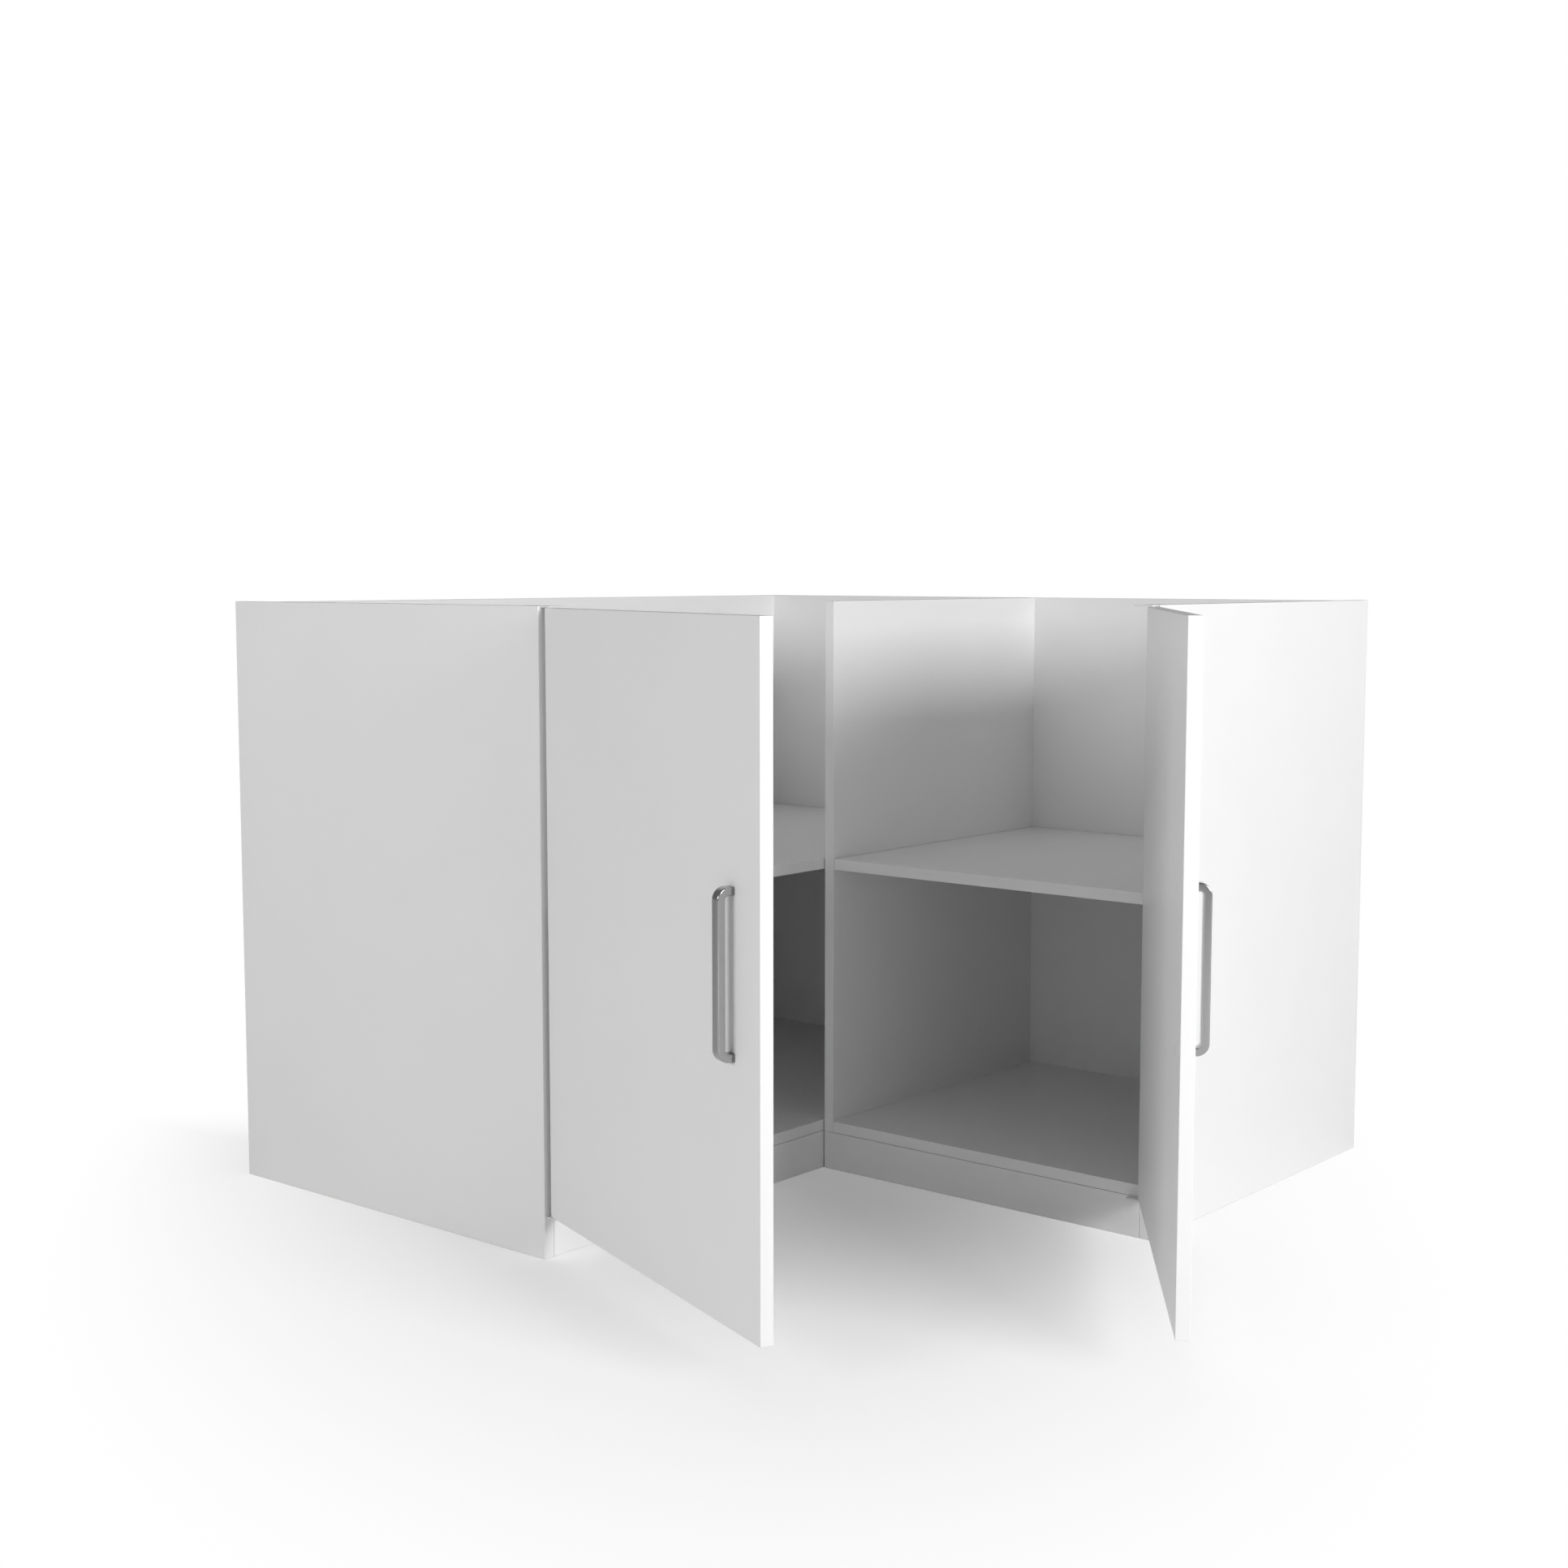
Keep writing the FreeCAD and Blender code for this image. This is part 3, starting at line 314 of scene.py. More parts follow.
def plated_steel(name, tint, low_rough, high_rough, spangle):
    """Bright zinc-plated steel, or rougher die-cast zinc, with the faint mottle that plating leaves."""
    material, tree = new_material(name)
    place = add(tree, "ShaderNodeTexCoord").outputs["Object"]
    mottle = add(tree, "ShaderNodeTexNoise", {"Vector": place, "Scale": 1 / spangle, "Detail": 4.0})
    rough = add(tree, "ShaderNodeMapRange", {"Value": mottle.outputs["Fac"], **NOISE_MIDDLE,
                                             "To Min": low_rough, "To Max": high_rough})
    tone = add(tree, "ShaderNodeMix", {"Factor": mottle.outputs["Fac"], "A": tint, "B": darker(tint, 0.88)},
               data_type="RGBA")
    shader = add(tree, "ShaderNodeBsdfPrincipled", {"Base Color": tone.outputs["Result"], "Metallic": 1.0,
                                                    "Roughness": rough.outputs["Result"]})
    add(tree, "ShaderNodeOutputMaterial", {"Surface": shader.outputs["BSDF"]})
    return material


def beech(finish):
    """Turned beech dowels: pale, close-grained wood with short darker flecks."""
    material, tree = new_material("turned_beech")
    place = add(tree, "ShaderNodeTexCoord").outputs["Object"]
    # Flecks are about 0.6 mm wide
    flecks = add(tree, "ShaderNodeTexNoise", {"Vector": place, "Scale": 1 / (0.6 * MM), "Detail": 4.0})
    tone = add(tree, "ShaderNodeMix", {"Factor": flecks.outputs["Fac"], "A": finish.beech,
                                       "B": finish.beech_dark}, data_type="RGBA")
    shader = add(tree, "ShaderNodeBsdfPrincipled", {"Base Color": tone.outputs["Result"], "Roughness": 0.62})
    add(tree, "ShaderNodeOutputMaterial", {"Surface": shader.outputs["BSDF"]})
    return material


def moulded_plastic(name, tint):
    """Nylon or polyethylene, injection moulded: an even colour with the faint waxy bloom of the mould."""
    material, tree = new_material(name)
    place = add(tree, "ShaderNodeTexCoord").outputs["Object"]
    bloom = add(tree, "ShaderNodeTexNoise", {"Vector": place, "Scale": 1 / (4 * MM), "Detail": 2.0})
    rough = add(tree, "ShaderNodeMapRange", {"Value": bloom.outputs["Fac"], "To Min": 0.38, "To Max": 0.5})
    tone = add(tree, "ShaderNodeMix", {"Factor": bloom.outputs["Fac"], "A": tint, "B": darker(tint, 0.97)},
               data_type="RGBA")
    shader = add(tree, "ShaderNodeBsdfPrincipled", {"Base Color": tone.outputs["Result"],
                                                    "Roughness": rough.outputs["Result"], "IOR": 1.53})
    add(tree, "ShaderNodeOutputMaterial", {"Surface": shader.outputs["BSDF"]})
    return material


def powder_coat(finish):
    """Powder-coated steel sheet: baked polyester over the bent bracket.

    The eye gets a plain white like the boards', with the shallow orange peel of baked powder.
    """
    material, tree = new_material("powder_coated_steel")
    place = add(tree, "ShaderNodeTexCoord").outputs["Object"]
    # Orange peel is about 1.2 mm across
    peel = add(tree, "ShaderNodeTexNoise", {"Vector": place, "Scale": 1 / (1.2 * MM), "Detail": 1.0})
    rough = add(tree, "ShaderNodeMapRange", {"Value": peel.outputs["Fac"], **NOISE_MIDDLE,
                                             "To Min": 0.34, "To Max": 0.42})
    tone = add(tree, "ShaderNodeMix", {"Factor": peel.outputs["Fac"], "A": finish.coating,
                                       "B": darker(finish.coating, 0.98)}, data_type="RGBA")
    bump = add(tree, "ShaderNodeBump", {"Height": peel.outputs["Fac"], "Strength": 0.15,
                                        "Distance": 0.05 * MM})
    shader = add(tree, "ShaderNodeBsdfPrincipled", {"Base Color": tone.outputs["Result"],
                                                    "Roughness": rough.outputs["Result"],
                                                    "Normal": bump.outputs["Normal"], "IOR": 1.5})
    add(tree, "ShaderNodeOutputMaterial", {"Surface": shader.outputs["BSDF"]})
    return material


def coat(node_names, material):
    """Gives CAD nodes a material."""
    for name in node_names:
        mesh = frame["nodes"][name].data
        mesh.materials.clear()
        mesh.materials.append(material)


# Pieces made with Geometry Nodes: how many sides their round shapes have, and how far a pin's tip tapers
HEAD_SIDES = 24
SHANK_SIDES = 16
PIN_SIDES = 24
PIN_TAPER = 0.8


def new_tree(name, inputs):
    """Geometry Nodes tree with named inputs; returns the tree, its input node and its output node."""
    tree = bpy.data.node_groups.new(name, "GeometryNodeTree")
    tree.interface.new_socket("Geometry", in_out="INPUT", socket_type="NodeSocketGeometry")
    for label, kind in inputs:
        tree.interface.new_socket(label, in_out="INPUT", socket_type=kind)
    tree.interface.new_socket("Geometry", in_out="OUTPUT", socket_type="NodeSocketGeometry")
    start = tree.nodes.new("NodeGroupInput")
    end = tree.nodes.new("NodeGroupOutput")
    return tree, start, end


def grow(name, points, tree, values, attributes=None, edges=()):
    """Runs a tree on a mesh of points and returns the finished plain mesh object."""
    seed = bpy.data.meshes.new(name + "_seed")
    seed.from_pydata([tuple(p) for p in points], list(edges), [])
    for label, vectors in (attributes or {}).items():
        layer = seed.attributes.new(label, "FLOAT_VECTOR", "POINT")
        for index, vector in enumerate(vectors):
            layer.data[index].vector = vector
    holder = bpy.data.objects.new(name + "_seed", seed)
    bpy.context.scene.collection.objects.link(holder)
    modifier = holder.modifiers.new("Shape", "NODES")
    modifier.node_group = tree
    for item in tree.interface.items_tree:
        if item.in_out == "INPUT" and item.name in values:
            modifier[item.identifier] = values[item.name]
    holder.modifiers.new("Even normals", "WEIGHTED_NORMAL")
    graph = bpy.context.evaluated_depsgraph_get()
    mesh = bpy.data.meshes.new_from_object(holder.evaluated_get(graph))
    mesh.name = name
    piece = bpy.data.objects.new(name, mesh)
    bpy.context.scene.collection.objects.link(piece)
    bpy.data.objects.remove(holder)
    if not mesh.polygons:
        raise RuntimeError(name + " came out empty")
    return piece


def handle_tree():
    """Bar with a rounded rectangular section along a line whose corners are bent."""
    tree, start, end = new_tree("Bow handle", (
        ("Width", "NodeSocketFloat"), ("Thickness", "NodeSocketFloat"),
        ("Bend radius", "NodeSocketFloat"), ("Edge radius", "NodeSocketFloat"),
        ("Bend steps", "NodeSocketInt"), ("Edge steps", "NodeSocketInt"),
        ("Material", "NodeSocketMaterial")))
    given = start.outputs
    line = add(tree, "GeometryNodeMeshToCurve", {"Mesh": given["Geometry"]})
    bent = add(tree, "GeometryNodeFilletCurve", {"Curve": line.outputs["Curve"],
                                                 "Radius": given["Bend radius"],
                                                 "Count": given["Bend steps"], "Limit Radius": True},
               mode="POLY")
    level = add(tree, "GeometryNodeSetCurveNormal", {"Curve": bent.outputs["Curve"]}, mode="Z_UP")
    section = add(tree, "GeometryNodeCurvePrimitiveQuadrilateral", {"Width": given["Thickness"],
                                                                    "Height": given["Width"]})
    rounded = add(tree, "GeometryNodeFilletCurve", {"Curve": section.outputs["Curve"],
                                                    "Radius": given["Edge radius"],
                                                    "Count": given["Edge steps"], "Limit Radius": True},
                  mode="POLY")
    bar = add(tree, "GeometryNodeCurveToMesh", {"Curve": level.outputs["Curve"],
                                                "Profile Curve": rounded.outputs["Curve"], "Fill Caps": True})
    smooth = add(tree, "GeometryNodeSetShadeSmooth", {"Geometry": bar.outputs["Mesh"]})
    real = add(tree, "GeometryNodeRealizeInstances", {"Geometry": smooth.outputs["Geometry"]})
    done = add(tree, "GeometryNodeSetMaterial", {"Geometry": real.outputs["Geometry"],
                                                 "Material": given["Material"]})
    tree.links.new(done.outputs["Geometry"], end.inputs["Geometry"])
    return tree


def stand_on_points(tree, start, end, shape):
    """Sets a shape on every point, its Z axis turned to the point's aim, and finishes the tree."""
    aim = add(tree, "GeometryNodeInputNamedAttribute", {"Name": "aim"}, data_type="FLOAT_VECTOR")
    turn = add(tree, "FunctionNodeAlignRotationToVector", {"Vector": aim.outputs["Attribute"]}, axis="Z")
    points = add(tree, "GeometryNodeMeshToPoints", {"Mesh": start.outputs["Geometry"]})
    placed = add(tree, "GeometryNodeInstanceOnPoints", {"Points": points.outputs["Points"], "Instance": shape,
                                                        "Rotation": turn.outputs["Rotation"]})
    real = add(tree, "GeometryNodeRealizeInstances", {"Geometry": placed.outputs["Instances"]})
    done = add(tree, "GeometryNodeSetMaterial", {"Geometry": real.outputs["Geometry"],
                                                 "Material": start.outputs["Material"]})
    tree.links.new(done.outputs["Geometry"], end.inputs["Geometry"])
    return tree


def screw_tree():
    """Countersunk screw with a cross recess: its head's top lies at the point, its shank runs down."""
    tree, start, end = new_tree("Countersunk screw", (
        ("Head radius", "NodeSocketFloat"), ("Head height", "NodeSocketFloat"),
        ("Shank radius", "NodeSocketFloat"), ("Length", "NodeSocketFloat"),
        ("Recess width", "NodeSocketFloat"), ("Recess span", "NodeSocketFloat"),
        ("Material", "NodeSocketMaterial")))
    given = start.outputs
    below = add(tree, "ShaderNodeMath", {0: given["Head height"], 1: -1.0}, operation="MULTIPLY").outputs[0]
    cone = add(tree, "GeometryNodeMeshCone", {"Vertices": HEAD_SIDES, "Radius Top": given["Head radius"],
                                              "Radius Bottom": given["Shank radius"],
                                              "Depth": given["Head height"]})
    foot = add(tree, "ShaderNodeCombineXYZ", {"Z": below})
    head = add(tree, "GeometryNodeTransform", {"Geometry": cone.outputs["Mesh"],
                                               "Translation": foot.outputs[0]})
    span = add(tree, "ShaderNodeCombineXYZ", {"X": given["Recess span"], "Y": given["Recess width"],
                                              "Z": given["Head height"]})
    cross = add(tree, "ShaderNodeCombineXYZ", {"X": given["Recess width"], "Y": given["Recess span"],
                                               "Z": given["Head height"]})
    cut = head.outputs["Geometry"]
    for size in (span, cross):
        bar = add(tree, "GeometryNodeMeshCube", {"Size": size.outputs[0]})
        cut = add(tree, "GeometryNodeMeshBoolean", {"Mesh 1": cut, "Mesh 2": bar.outputs["Mesh"]},
                  operation="DIFFERENCE", solver="EXACT").outputs["Mesh"]
    shank_length = add(tree, "ShaderNodeMath", {0: given["Length"], 1: given["Head height"]},
                       operation="SUBTRACT")
    shank = add(tree, "GeometryNodeMeshCylinder", {"Vertices": SHANK_SIDES, "Radius": given["Shank radius"],
                                                   "Depth": shank_length.outputs[0]})
    middle = add(tree, "ShaderNodeMath", {0: shank_length.outputs[0], 1: -0.5, 2: below},
                 operation="MULTIPLY_ADD")
    sink = add(tree, "ShaderNodeCombineXYZ", {"Z": middle.outputs[0]})
    shank = add(tree, "GeometryNodeTransform", {"Geometry": shank.outputs["Mesh"],
                                                "Translation": sink.outputs[0]})
    whole = tree.nodes.new("GeometryNodeJoinGeometry")
    tree.links.new(cut, whole.inputs[0])
    tree.links.new(shank.outputs["Geometry"], whole.inputs[0])
    return stand_on_points(tree, start, end, whole.outputs["Geometry"])


def pin_tree():
    """Shelf pin: a round rod with a tapered tip at each end, its middle at the point."""
    tree, start, end = new_tree("Shelf pin", (
        ("Radius", "NodeSocketFloat"), ("Length", "NodeSocketFloat"), ("Tip", "NodeSocketFloat"),
        ("Material", "NodeSocketMaterial")))
    given = start.outputs
    body = add(tree, "ShaderNodeMath", {0: given["Tip"], 1: -2.0, 2: given["Length"]},
               operation="MULTIPLY_ADD")
    rod = add(tree, "GeometryNodeMeshCylinder", {"Vertices": PIN_SIDES, "Radius": given["Radius"],
                                                 "Depth": body.outputs[0]})
    narrow = add(tree, "ShaderNodeMath", {0: given["Radius"], 1: PIN_TAPER}, operation="MULTIPLY")
    half = add(tree, "ShaderNodeMath", {0: body.outputs[0], 1: 0.5}, operation="MULTIPLY")
    ends = []
    for turn in (0.0, math.pi):
        tip = add(tree, "GeometryNodeMeshCone", {"Vertices": PIN_SIDES, "Radius Top": narrow.outputs[0],
                                                 "Radius Bottom": given["Radius"], "Depth": given["Tip"]})
        lift = add(tree, "ShaderNodeCombineXYZ", {"Z": half.outputs[0]})
        tip = add(tree, "GeometryNodeTransform", {"Geometry": tip.outputs["Mesh"],
                                                  "Translation": lift.outputs[0]})
        turned = add(tree, "GeometryNodeTransform", {"Geometry": tip.outputs["Geometry"],
                                                     "Rotation": (turn, 0.0, 0.0)})
        ends.append(turned.outputs["Geometry"])
    whole = tree.nodes.new("GeometryNodeJoinGeometry")
    for part in [rod.outputs["Mesh"]] + ends:
        tree.links.new(part, whole.inputs[0])
    return stand_on_points(tree, start, end, whole.outputs["Geometry"])


def corners(points):
    """Lowest and highest corners of some points."""
    return tuple(Vector([pick(point[i] for point in points) for i in range(3)]) for pick in (min, max))


def door_axes(side):
    """Matrix to a door's resting place from its own axes: out of its face, sideways and up."""
    door = DOORS[side]
    pivot = Vector(JOINTS[side + "_door_hinge"]["pos_m"])
    pivot.z = 0.0
    turn = Matrix.Rotation(math.radians(door["turn"]), 4, "Z")
    axes = Matrix((door["out"], door["side"], Vector((0, 0, 1)))).transposed().to_4x4()
    return Matrix.Translation(pivot) @ turn @ axes


def span_in(node_name, axes):
    """Lowest and highest corners of a CAD node in other axes."""
    back = axes.inverted()
    return corners([back @ vertex.co for vertex in frame["nodes"][node_name].data.vertices])


def loose_parts(node_name):
    """Lowest and highest corners of each separate solid of a CAD node."""
    mesh = frame["nodes"][node_name].data
    keys, parent, owner = {}, [], []
    for vertex in mesh.vertices:
        key = tuple(round(c, 6) for c in vertex.co)
        if key not in keys:
            keys[key] = len(parent)
            parent.append(len(parent))
        owner.append(keys[key])

    def top(index):
        """Root of a group of joined points."""
        while parent[index] != index:
            parent[index] = parent[parent[index]]
            index = parent[index]
        return index

    for polygon in mesh.polygons:
        first = top(owner[polygon.vertices[0]])
        for other in polygon.vertices[1:]:
            parent[top(owner[other])] = first
    groups = {}
    for key, index in keys.items():
        groups.setdefault(top(index), []).append(Vector(key))
    return [corners(points) for points in groups.values()]


# Operators
class CABINET_OT_boards(bpy.types.Operator):
    """Gives the boards, plinths, shelves and doors their white melamine face and bare edges"""
    bl_idname = "cabinet.boards"
    bl_label = "Finish boards and doors"

    def execute(self, context):
        for name in BARE_EDGES:
            coat([name], melamine(name, context.scene.cabinet_boards))
        return {"FINISHED"}


class CABINET_OT_hardware(bpy.types.Operator):
    """Gives the brackets, pins, cam fittings, dowels and bushes their metal, wood and nylon"""
    bl_idname = "cabinet.hardware"
    bl_label = "Finish hidden fittings"

    def execute(self, context):
        finish = context.scene.cabinet_fittings
        steel = plated_steel("zinc_plated_steel", finish.steel, 0.28, 0.40, 3 * MM)
        cast = plated_steel("die_cast_zinc", finish.cast, 0.48, 0.60, 1.5 * MM)
        coated = powder_coat(finish)
        wood = beech(finish)
        nylon = moulded_plastic("moulded_nylon", finish.nylon)
        caps = moulded_plastic("moulded_polyethylene", finish.cap)
        for side in ("left", "right"):
            coat([side + "_upper_pivot_bracket", side + "_lower_pivot_bracket"], coated)
            coat([side + "_pivot_pins", side + "_wing_cam_bolts", side + "_handle_screws"], steel)
            coat([side + "_wing_cams"], cast)
            coat([side + "_wing_dowels"], wood)
            coat([side + "_door_bushes"], nylon)
            coat([side + "_handle_screw_caps"], caps)
        return {"FINISHED"}


class CABINET_OT_handles(bpy.types.Operator):
    """Makes the bow handle of each door from a bent bar"""
    bl_idname = "cabinet.handles"
    bl_label = "Handles"

    def execute(self, context):
        sizes = context.scene.cabinet_handles
        tree = handle_tree()
        metal = satin_nickel(sizes)
        half = sizes.thickness / 2
        for side in DOORS:
            axes = door_axes(side)
            low, high = span_in(side + "_handle", axes)
            reach = high.x - low.x - half
            rise = high.z - low.z - sizes.thickness
            line = [(0, -rise / 2, 0), (reach, -rise / 2, 0), (reach, rise / 2, 0), (0, rise / 2, 0)]
            handle = grow(side + "_bow_handle", line, tree, {
                "Width": sizes.width, "Thickness": sizes.thickness, "Bend radius": sizes.bend - half,
                "Edge radius": sizes.edge, "Bend steps": sizes.bend_steps, "Edge steps": sizes.edge_steps,
                "Material": metal}, edges=((0, 1), (1, 2), (2, 3)))
            upright = Matrix.Rotation(math.radians(90), 4, "X")
            centre = Matrix.Translation((low.x, (low.y + high.y) / 2, (low.z + high.z) / 2))
            handle.data.transform(axes @ centre @ upright)
            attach(handle, side + "_door_leaf")
            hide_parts(side + "_handle")
        return {"FINISHED"}


class CABINET_OT_screws(bpy.types.Operator):
    """Sets the cross-recessed screws of the hinge brackets"""
    bl_idname = "cabinet.screws"
    bl_label = "Screws"

    def execute(self, context):
        sizes = context.scene.cabinet_fittings
        coated = bpy.data.materials["powder_coated_steel"]
        tree = screw_tree()
        for side in DOORS:
            # The heads face the inside of the wing: +Y in the left wing, -X in the right
            axis, sign = (1, 1) if side == "left" else (0, -1)
            aim = Vector((0, 0, 0))
            aim[axis] = sign
            tops = []
            for low, high in loose_parts(side + "_bracket_screws"):
                top = (low + high) / 2
                top[axis] = high[axis] if sign > 0 else low[axis]
                tops.append(top)
            screws = grow(side + "_countersunk_screws", tops, tree, {
                "Head radius": sizes.bracket_head, "Head height": sizes.bracket_sink,
                "Shank radius": sizes.bracket_shank, "Length": sizes.bracket_length,
                "Recess width": sizes.recess, "Recess span": sizes.bracket_head, "Material": coated},
                {"aim": [aim] * len(tops)})
            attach(screws, "carcass")
            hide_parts(side + "_bracket_screws")
        return {"FINISHED"}


class CABINET_OT_shelf_pins(bpy.types.Operator):
    """Sets the round pins under each shelf"""
    bl_idname = "cabinet.shelf_pins"
    bl_label = "Shelf pins"

    def execute(self, context):
        sizes = context.scene.cabinet_fittings
        steel = bpy.data.materials["zinc_plated_steel"]
        tree = pin_tree()
        for side in DOORS:
            middles, aims = [], []
            for low, high in loose_parts(side + "_shelf_pins"):
                size = high - low
                middles.append((low + high) / 2)
                aims.append(Vector((1, 0, 0)) if size.x > size.y else Vector((0, 1, 0)))
            pins = grow(side + "_round_shelf_pins", middles, tree, {
                "Radius": sizes.pin_radius, "Length": sizes.pin_length, "Tip": sizes.pin_tip,
                "Material": steel}, {"aim": aims})
            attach(pins, "carcass")
            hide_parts(side + "_shelf_pins")
        return {"FINISHED"}


class CABINET_OT_stage(bpy.types.Operator):
    """Sets up the floor, the lights and the camera"""
    bl_idname = "cabinet.stage"
    bl_label = "Stage"

    def execute(self, context):
        settings = context.scene.cabinet_stage
        scene = context.scene
        scene.view_settings.view_transform = "Standard"
        self.light_world(scene, settings)
        self.stand_lamp(scene, settings, "right_lamp", settings.right_lamp, settings.right_heading)
        self.stand_lamp(scene, settings, "front_lamp", settings.front_lamp, settings.front_heading)
        self.lay_floor(scene, settings)
        data = bpy.data.cameras.new("camera")
        data.sensor_width = FRAME_WIDTH
        data.lens = settings.camera_lens
        camera = bpy.data.objects.new("camera", data)
        camera.location = settings.camera_place
        camera.rotation_euler = (math.radians(90) - settings.camera_pitch, 0.0, settings.camera_heading)
        scene.collection.objects.link(camera)
        scene.camera = camera
        return {"FINISHED"}

    def light_world(self, scene, settings):
        """Even white light, seen by the camera as plain white and by metal as a dim room with a pale wall."""
        world = bpy.data.worlds.new("studio")
        world.use_nodes = True
        tree = world.node_tree
        tree.nodes.clear()
        path = add(tree, "ShaderNodeLightPath")
        ray = add(tree, "ShaderNodeTexCoord").outputs["Generated"]
        heading = settings.wall_heading
        facing = add(tree, "ShaderNodeVectorMath", {0: ray, 1: (math.cos(heading), math.sin(heading), 0.0)},
                     operation="DOT_PRODUCT")
        mirrored = add(tree, "ShaderNodeMapRange", {"Value": facing.outputs["Value"], "From Min": 0.4,
                                                    "To Min": settings.mirrored_dark,
                                                    "To Max": settings.mirrored_light},
                       interpolation_type="SMOOTHSTEP")
        room = add(tree, "ShaderNodeMix", {"Factor": path.outputs["Is Glossy Ray"], "A": settings.fill,
                                           "B": mirrored.outputs["Result"]}, data_type="FLOAT")
        seen = add(tree, "ShaderNodeMath", {0: path.outputs["Is Camera Ray"],
                                            1: path.outputs["Is Transmission Ray"]}, operation="MAXIMUM")
        strength = add(tree, "ShaderNodeMix", {"Factor": seen.outputs[0], "A": room.outputs[0], "B": 1.0},
                       data_type="FLOAT")
        sky = add(tree, "ShaderNodeBackground", {"Color": (1.0, 1.0, 1.0, 1.0),
                                                 "Strength": strength.outputs[0]})
        add(tree, "ShaderNodeOutputWorld", {"Surface": sky.outputs["Background"]})
        scene.world = world

    def stand_lamp(self, scene, settings, name, power, heading):
        """Wide soft lamp that faces the cabinet, its heading counted from +X towards -Y."""
        data = bpy.data.lights.new(name, "AREA")
        data.shape = "RECTANGLE"
        data.size = settings.lamp_width
        data.size_y = settings.lamp_height
        data.energy = power
        lamp = bpy.data.objects.new(name, data)
        lamp.location = (settings.lamp_distance * math.cos(heading),
                         -settings.lamp_distance * math.sin(heading), settings.lamp_middle)
        lamp.rotation_euler = (math.radians(90), 0.0, math.radians(90) - heading)
        scene.collection.objects.link(lamp)

    def lay_floor(self, scene, settings):
        """Round pale floor that turns plain white outside an oval before the cabinet and on its far side."""
        turns = [2 * math.pi * i / FLOOR_SIDES for i in range(FLOOR_SIDES)]
        ring = [(FLOOR_RADIUS * math.cos(turn), FLOOR_RADIUS * math.sin(turn), 0.0) for turn in turns]
        mesh = bpy.data.meshes.new("floor")
        mesh.from_pydata(ring, [], [list(range(FLOOR_SIDES))])
        floor = bpy.data.objects.new("floor", mesh)
        scene.collection.objects.link(floor)
        material, tree = new_material("painted_studio_floor")
        place = add(tree, "ShaderNodeTexCoord").outputs["Object"]
        oval = add(tree, "ShaderNodeMapping", {"Vector": place, "Location": settings.floor_middle,
                                               "Rotation": (0.0, 0.0, settings.floor_heading),
                                               "Scale": (1.0, settings.floor_breadth, 1.0)},
                   vector_type="TEXTURE")
        reach = add(tree, "ShaderNodeVectorMath", {0: oval.outputs["Vector"]}, operation="LENGTH")
        away = add(tree, "ShaderNodeMapRange", {"Value": reach.outputs["Value"],
                                                "From Min": settings.floor_clear,
                                                "From Max": settings.floor_white},
                   interpolation_type="SMOOTHSTEP")
        far = (-math.sin(settings.far_heading), math.cos(settings.far_heading), 0.0)
        along = add(tree, "ShaderNodeVectorMath", {0: place, 1: far}, operation="DOT_PRODUCT")
        behind = add(tree, "ShaderNodeMapRange", {"Value": along.outputs["Value"],
                                                  "From Min": settings.far_clear,
                                                  "From Max": settings.far_white},
                     interpolation_type="SMOOTHSTEP")
        white_share = add(tree, "ShaderNodeMath", {0: away.outputs["Result"], 1: behind.outputs["Result"]},
                          operation="MAXIMUM")
        path = add(tree, "ShaderNodeLightPath")
        seen = path.outputs["Is Camera Ray"]
        share = add(tree, "ShaderNodeMath", {0: white_share.outputs[0], 1: seen}, operation="MULTIPLY")
        lift = add(tree, "ShaderNodeMath", {0: seen, 1: settings.floor_lift}, operation="MULTIPLY")
        paint = add(tree, "ShaderNodeBsdfDiffuse", {"Color": settings.floor_colour})
        glow = add(tree, "ShaderNodeEmission", {"Strength": lift.outputs[0]})
        near = add(tree, "ShaderNodeAddShader", {0: paint.outputs["BSDF"], 1: glow.outputs["Emission"]})
        white = add(tree, "ShaderNodeEmission", {"Strength": 1.0})
        both = add(tree, "ShaderNodeMixShader", {0: share.outputs[0], 1: near.outputs["Shader"],
                                                 2: white.outputs["Emission"]})
        add(tree, "ShaderNodeOutputMaterial", {"Surface": both.outputs["Shader"]})
        mesh.materials.append(material)


OPERATORS = (CABINET_OT_boards, CABINET_OT_hardware, CABINET_OT_handles, CABINET_OT_screws,
             CABINET_OT_shelf_pins, CABINET_OT_stage)


class CABINET_PT_panel(bpy.types.Panel):
    """Sizes, colours and steps of the cabinet"""
    bl_idname = "CABINET_PT_panel"
    bl_label = "Corner cabinet"
    bl_space_type = "VIEW_3D"
    bl_region_type = "UI"
    bl_category = "Cabinet"

    def draw(self, context):
        layout = self.layout
        for owner in GROUPS:
            group = getattr(context.scene, owner)
            box = layout.box()
            for name in group.bl_rna.properties.keys():
                if name not in ("name", "rna_type"):
                    box.prop(group, name)
        for operator in OPERATORS:
            layout.operator(operator.bl_idname)


GROUPS = {
    "cabinet_boards": BoardFinish,
    "cabinet_handles": HandleSizes,
    "cabinet_fittings": FittingSizes,
    "cabinet_stage": StageSettings,
}
CLASSES = tuple(GROUPS.values()) + OPERATORS + (CABINET_PT_panel,)


def register():
    """Adds the classes and the scene's settings."""
    for cls in CLASSES:
        bpy.utils.register_class(cls)
    for name, group in GROUPS.items():
        setattr(bpy.types.Scene, name, PointerProperty(type=group))


def unregister():
    """Takes the settings and the classes away again."""
    for name in GROUPS:
        delattr(bpy.types.Scene, name)
    for cls in reversed(CLASSES):
        bpy.utils.unregister_class(cls)


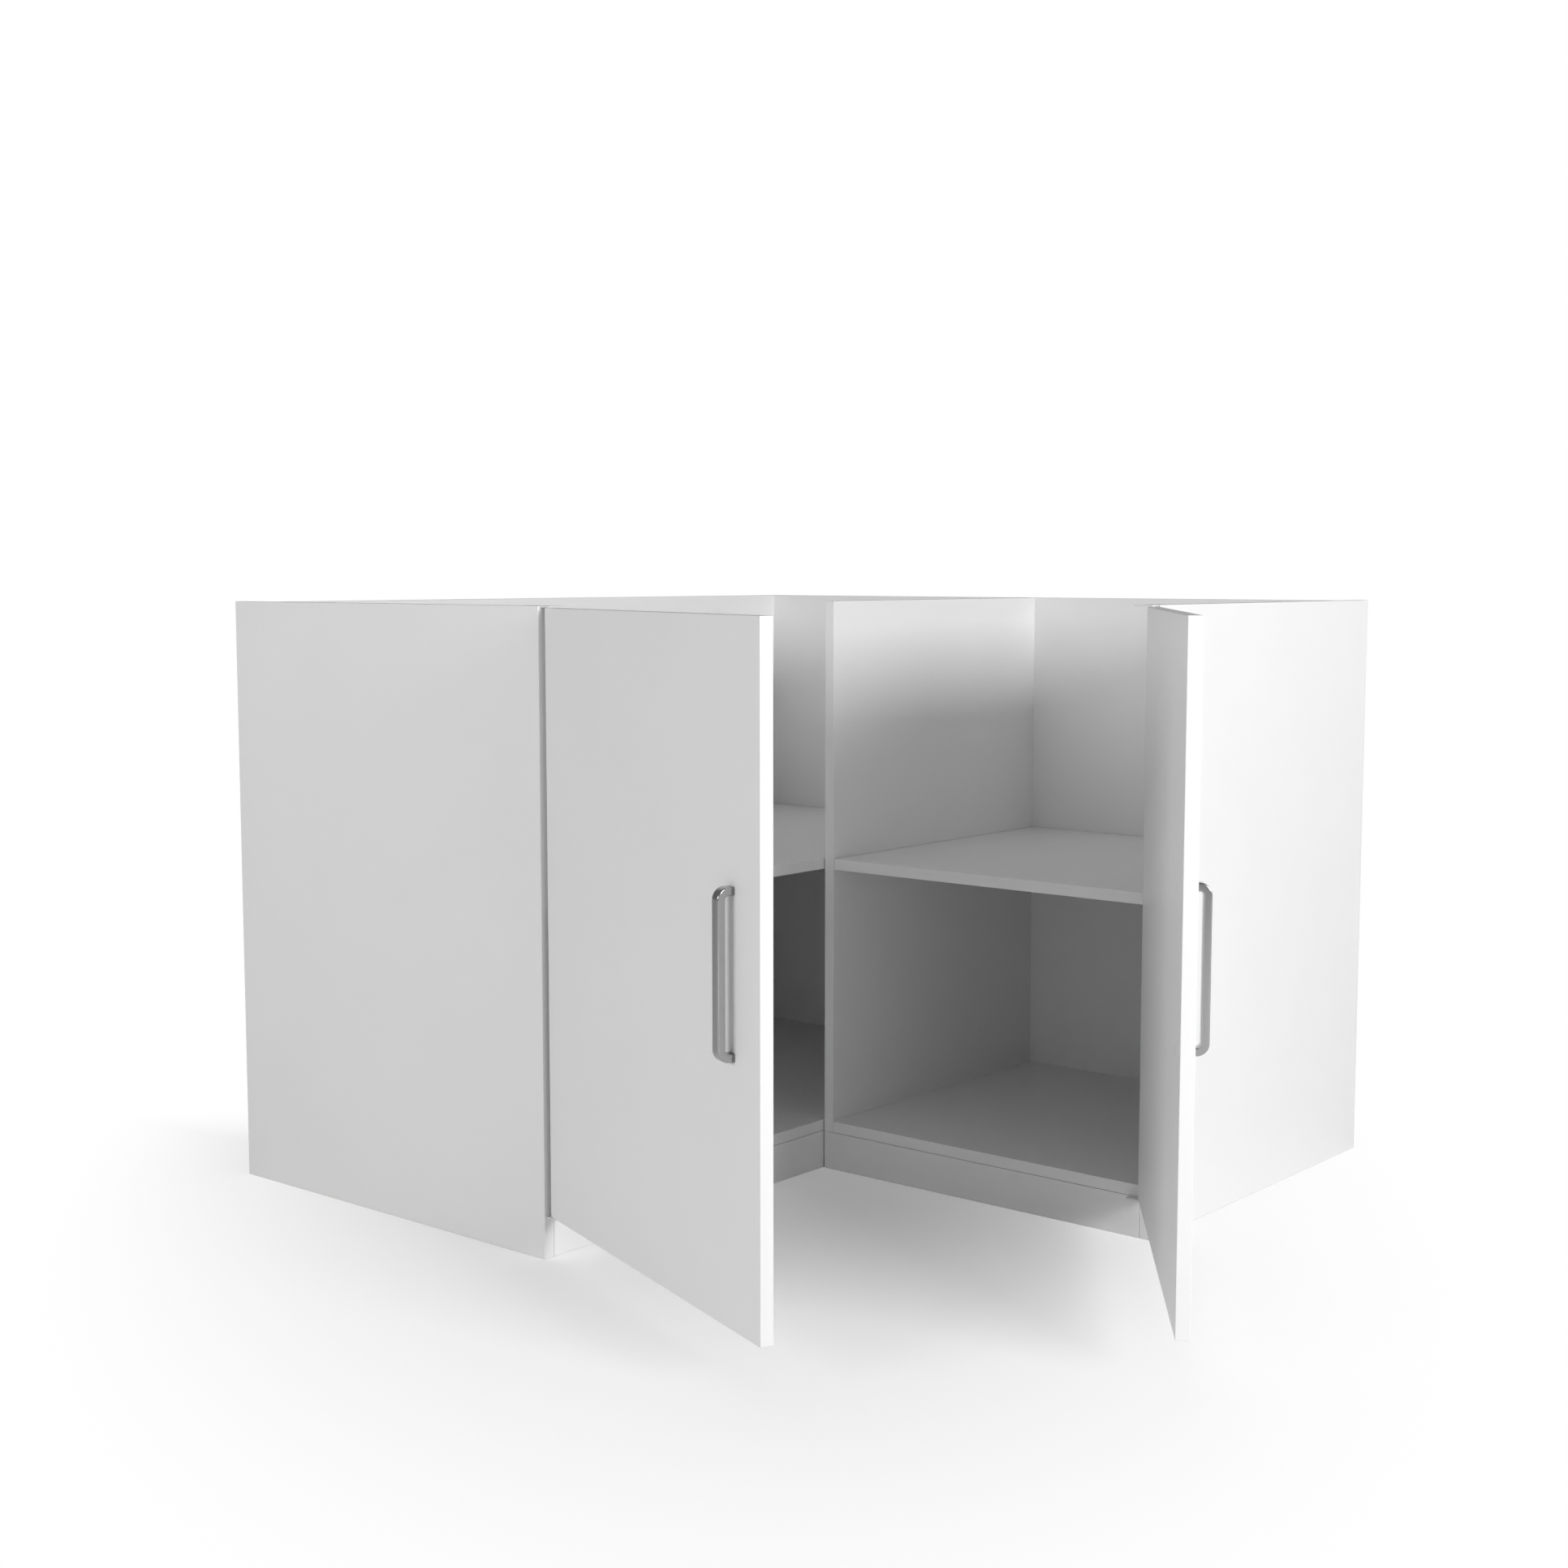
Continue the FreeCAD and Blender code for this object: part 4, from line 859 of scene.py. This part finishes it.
def main():
    """Dresses the cabinet."""
    register()
    bpy.ops.cabinet.boards()
    bpy.ops.cabinet.hardware()
    bpy.ops.cabinet.handles()
    bpy.ops.cabinet.screws()
    bpy.ops.cabinet.shelf_pins()
    bpy.ops.cabinet.stage()


if __name__ == "__main__":
    main()
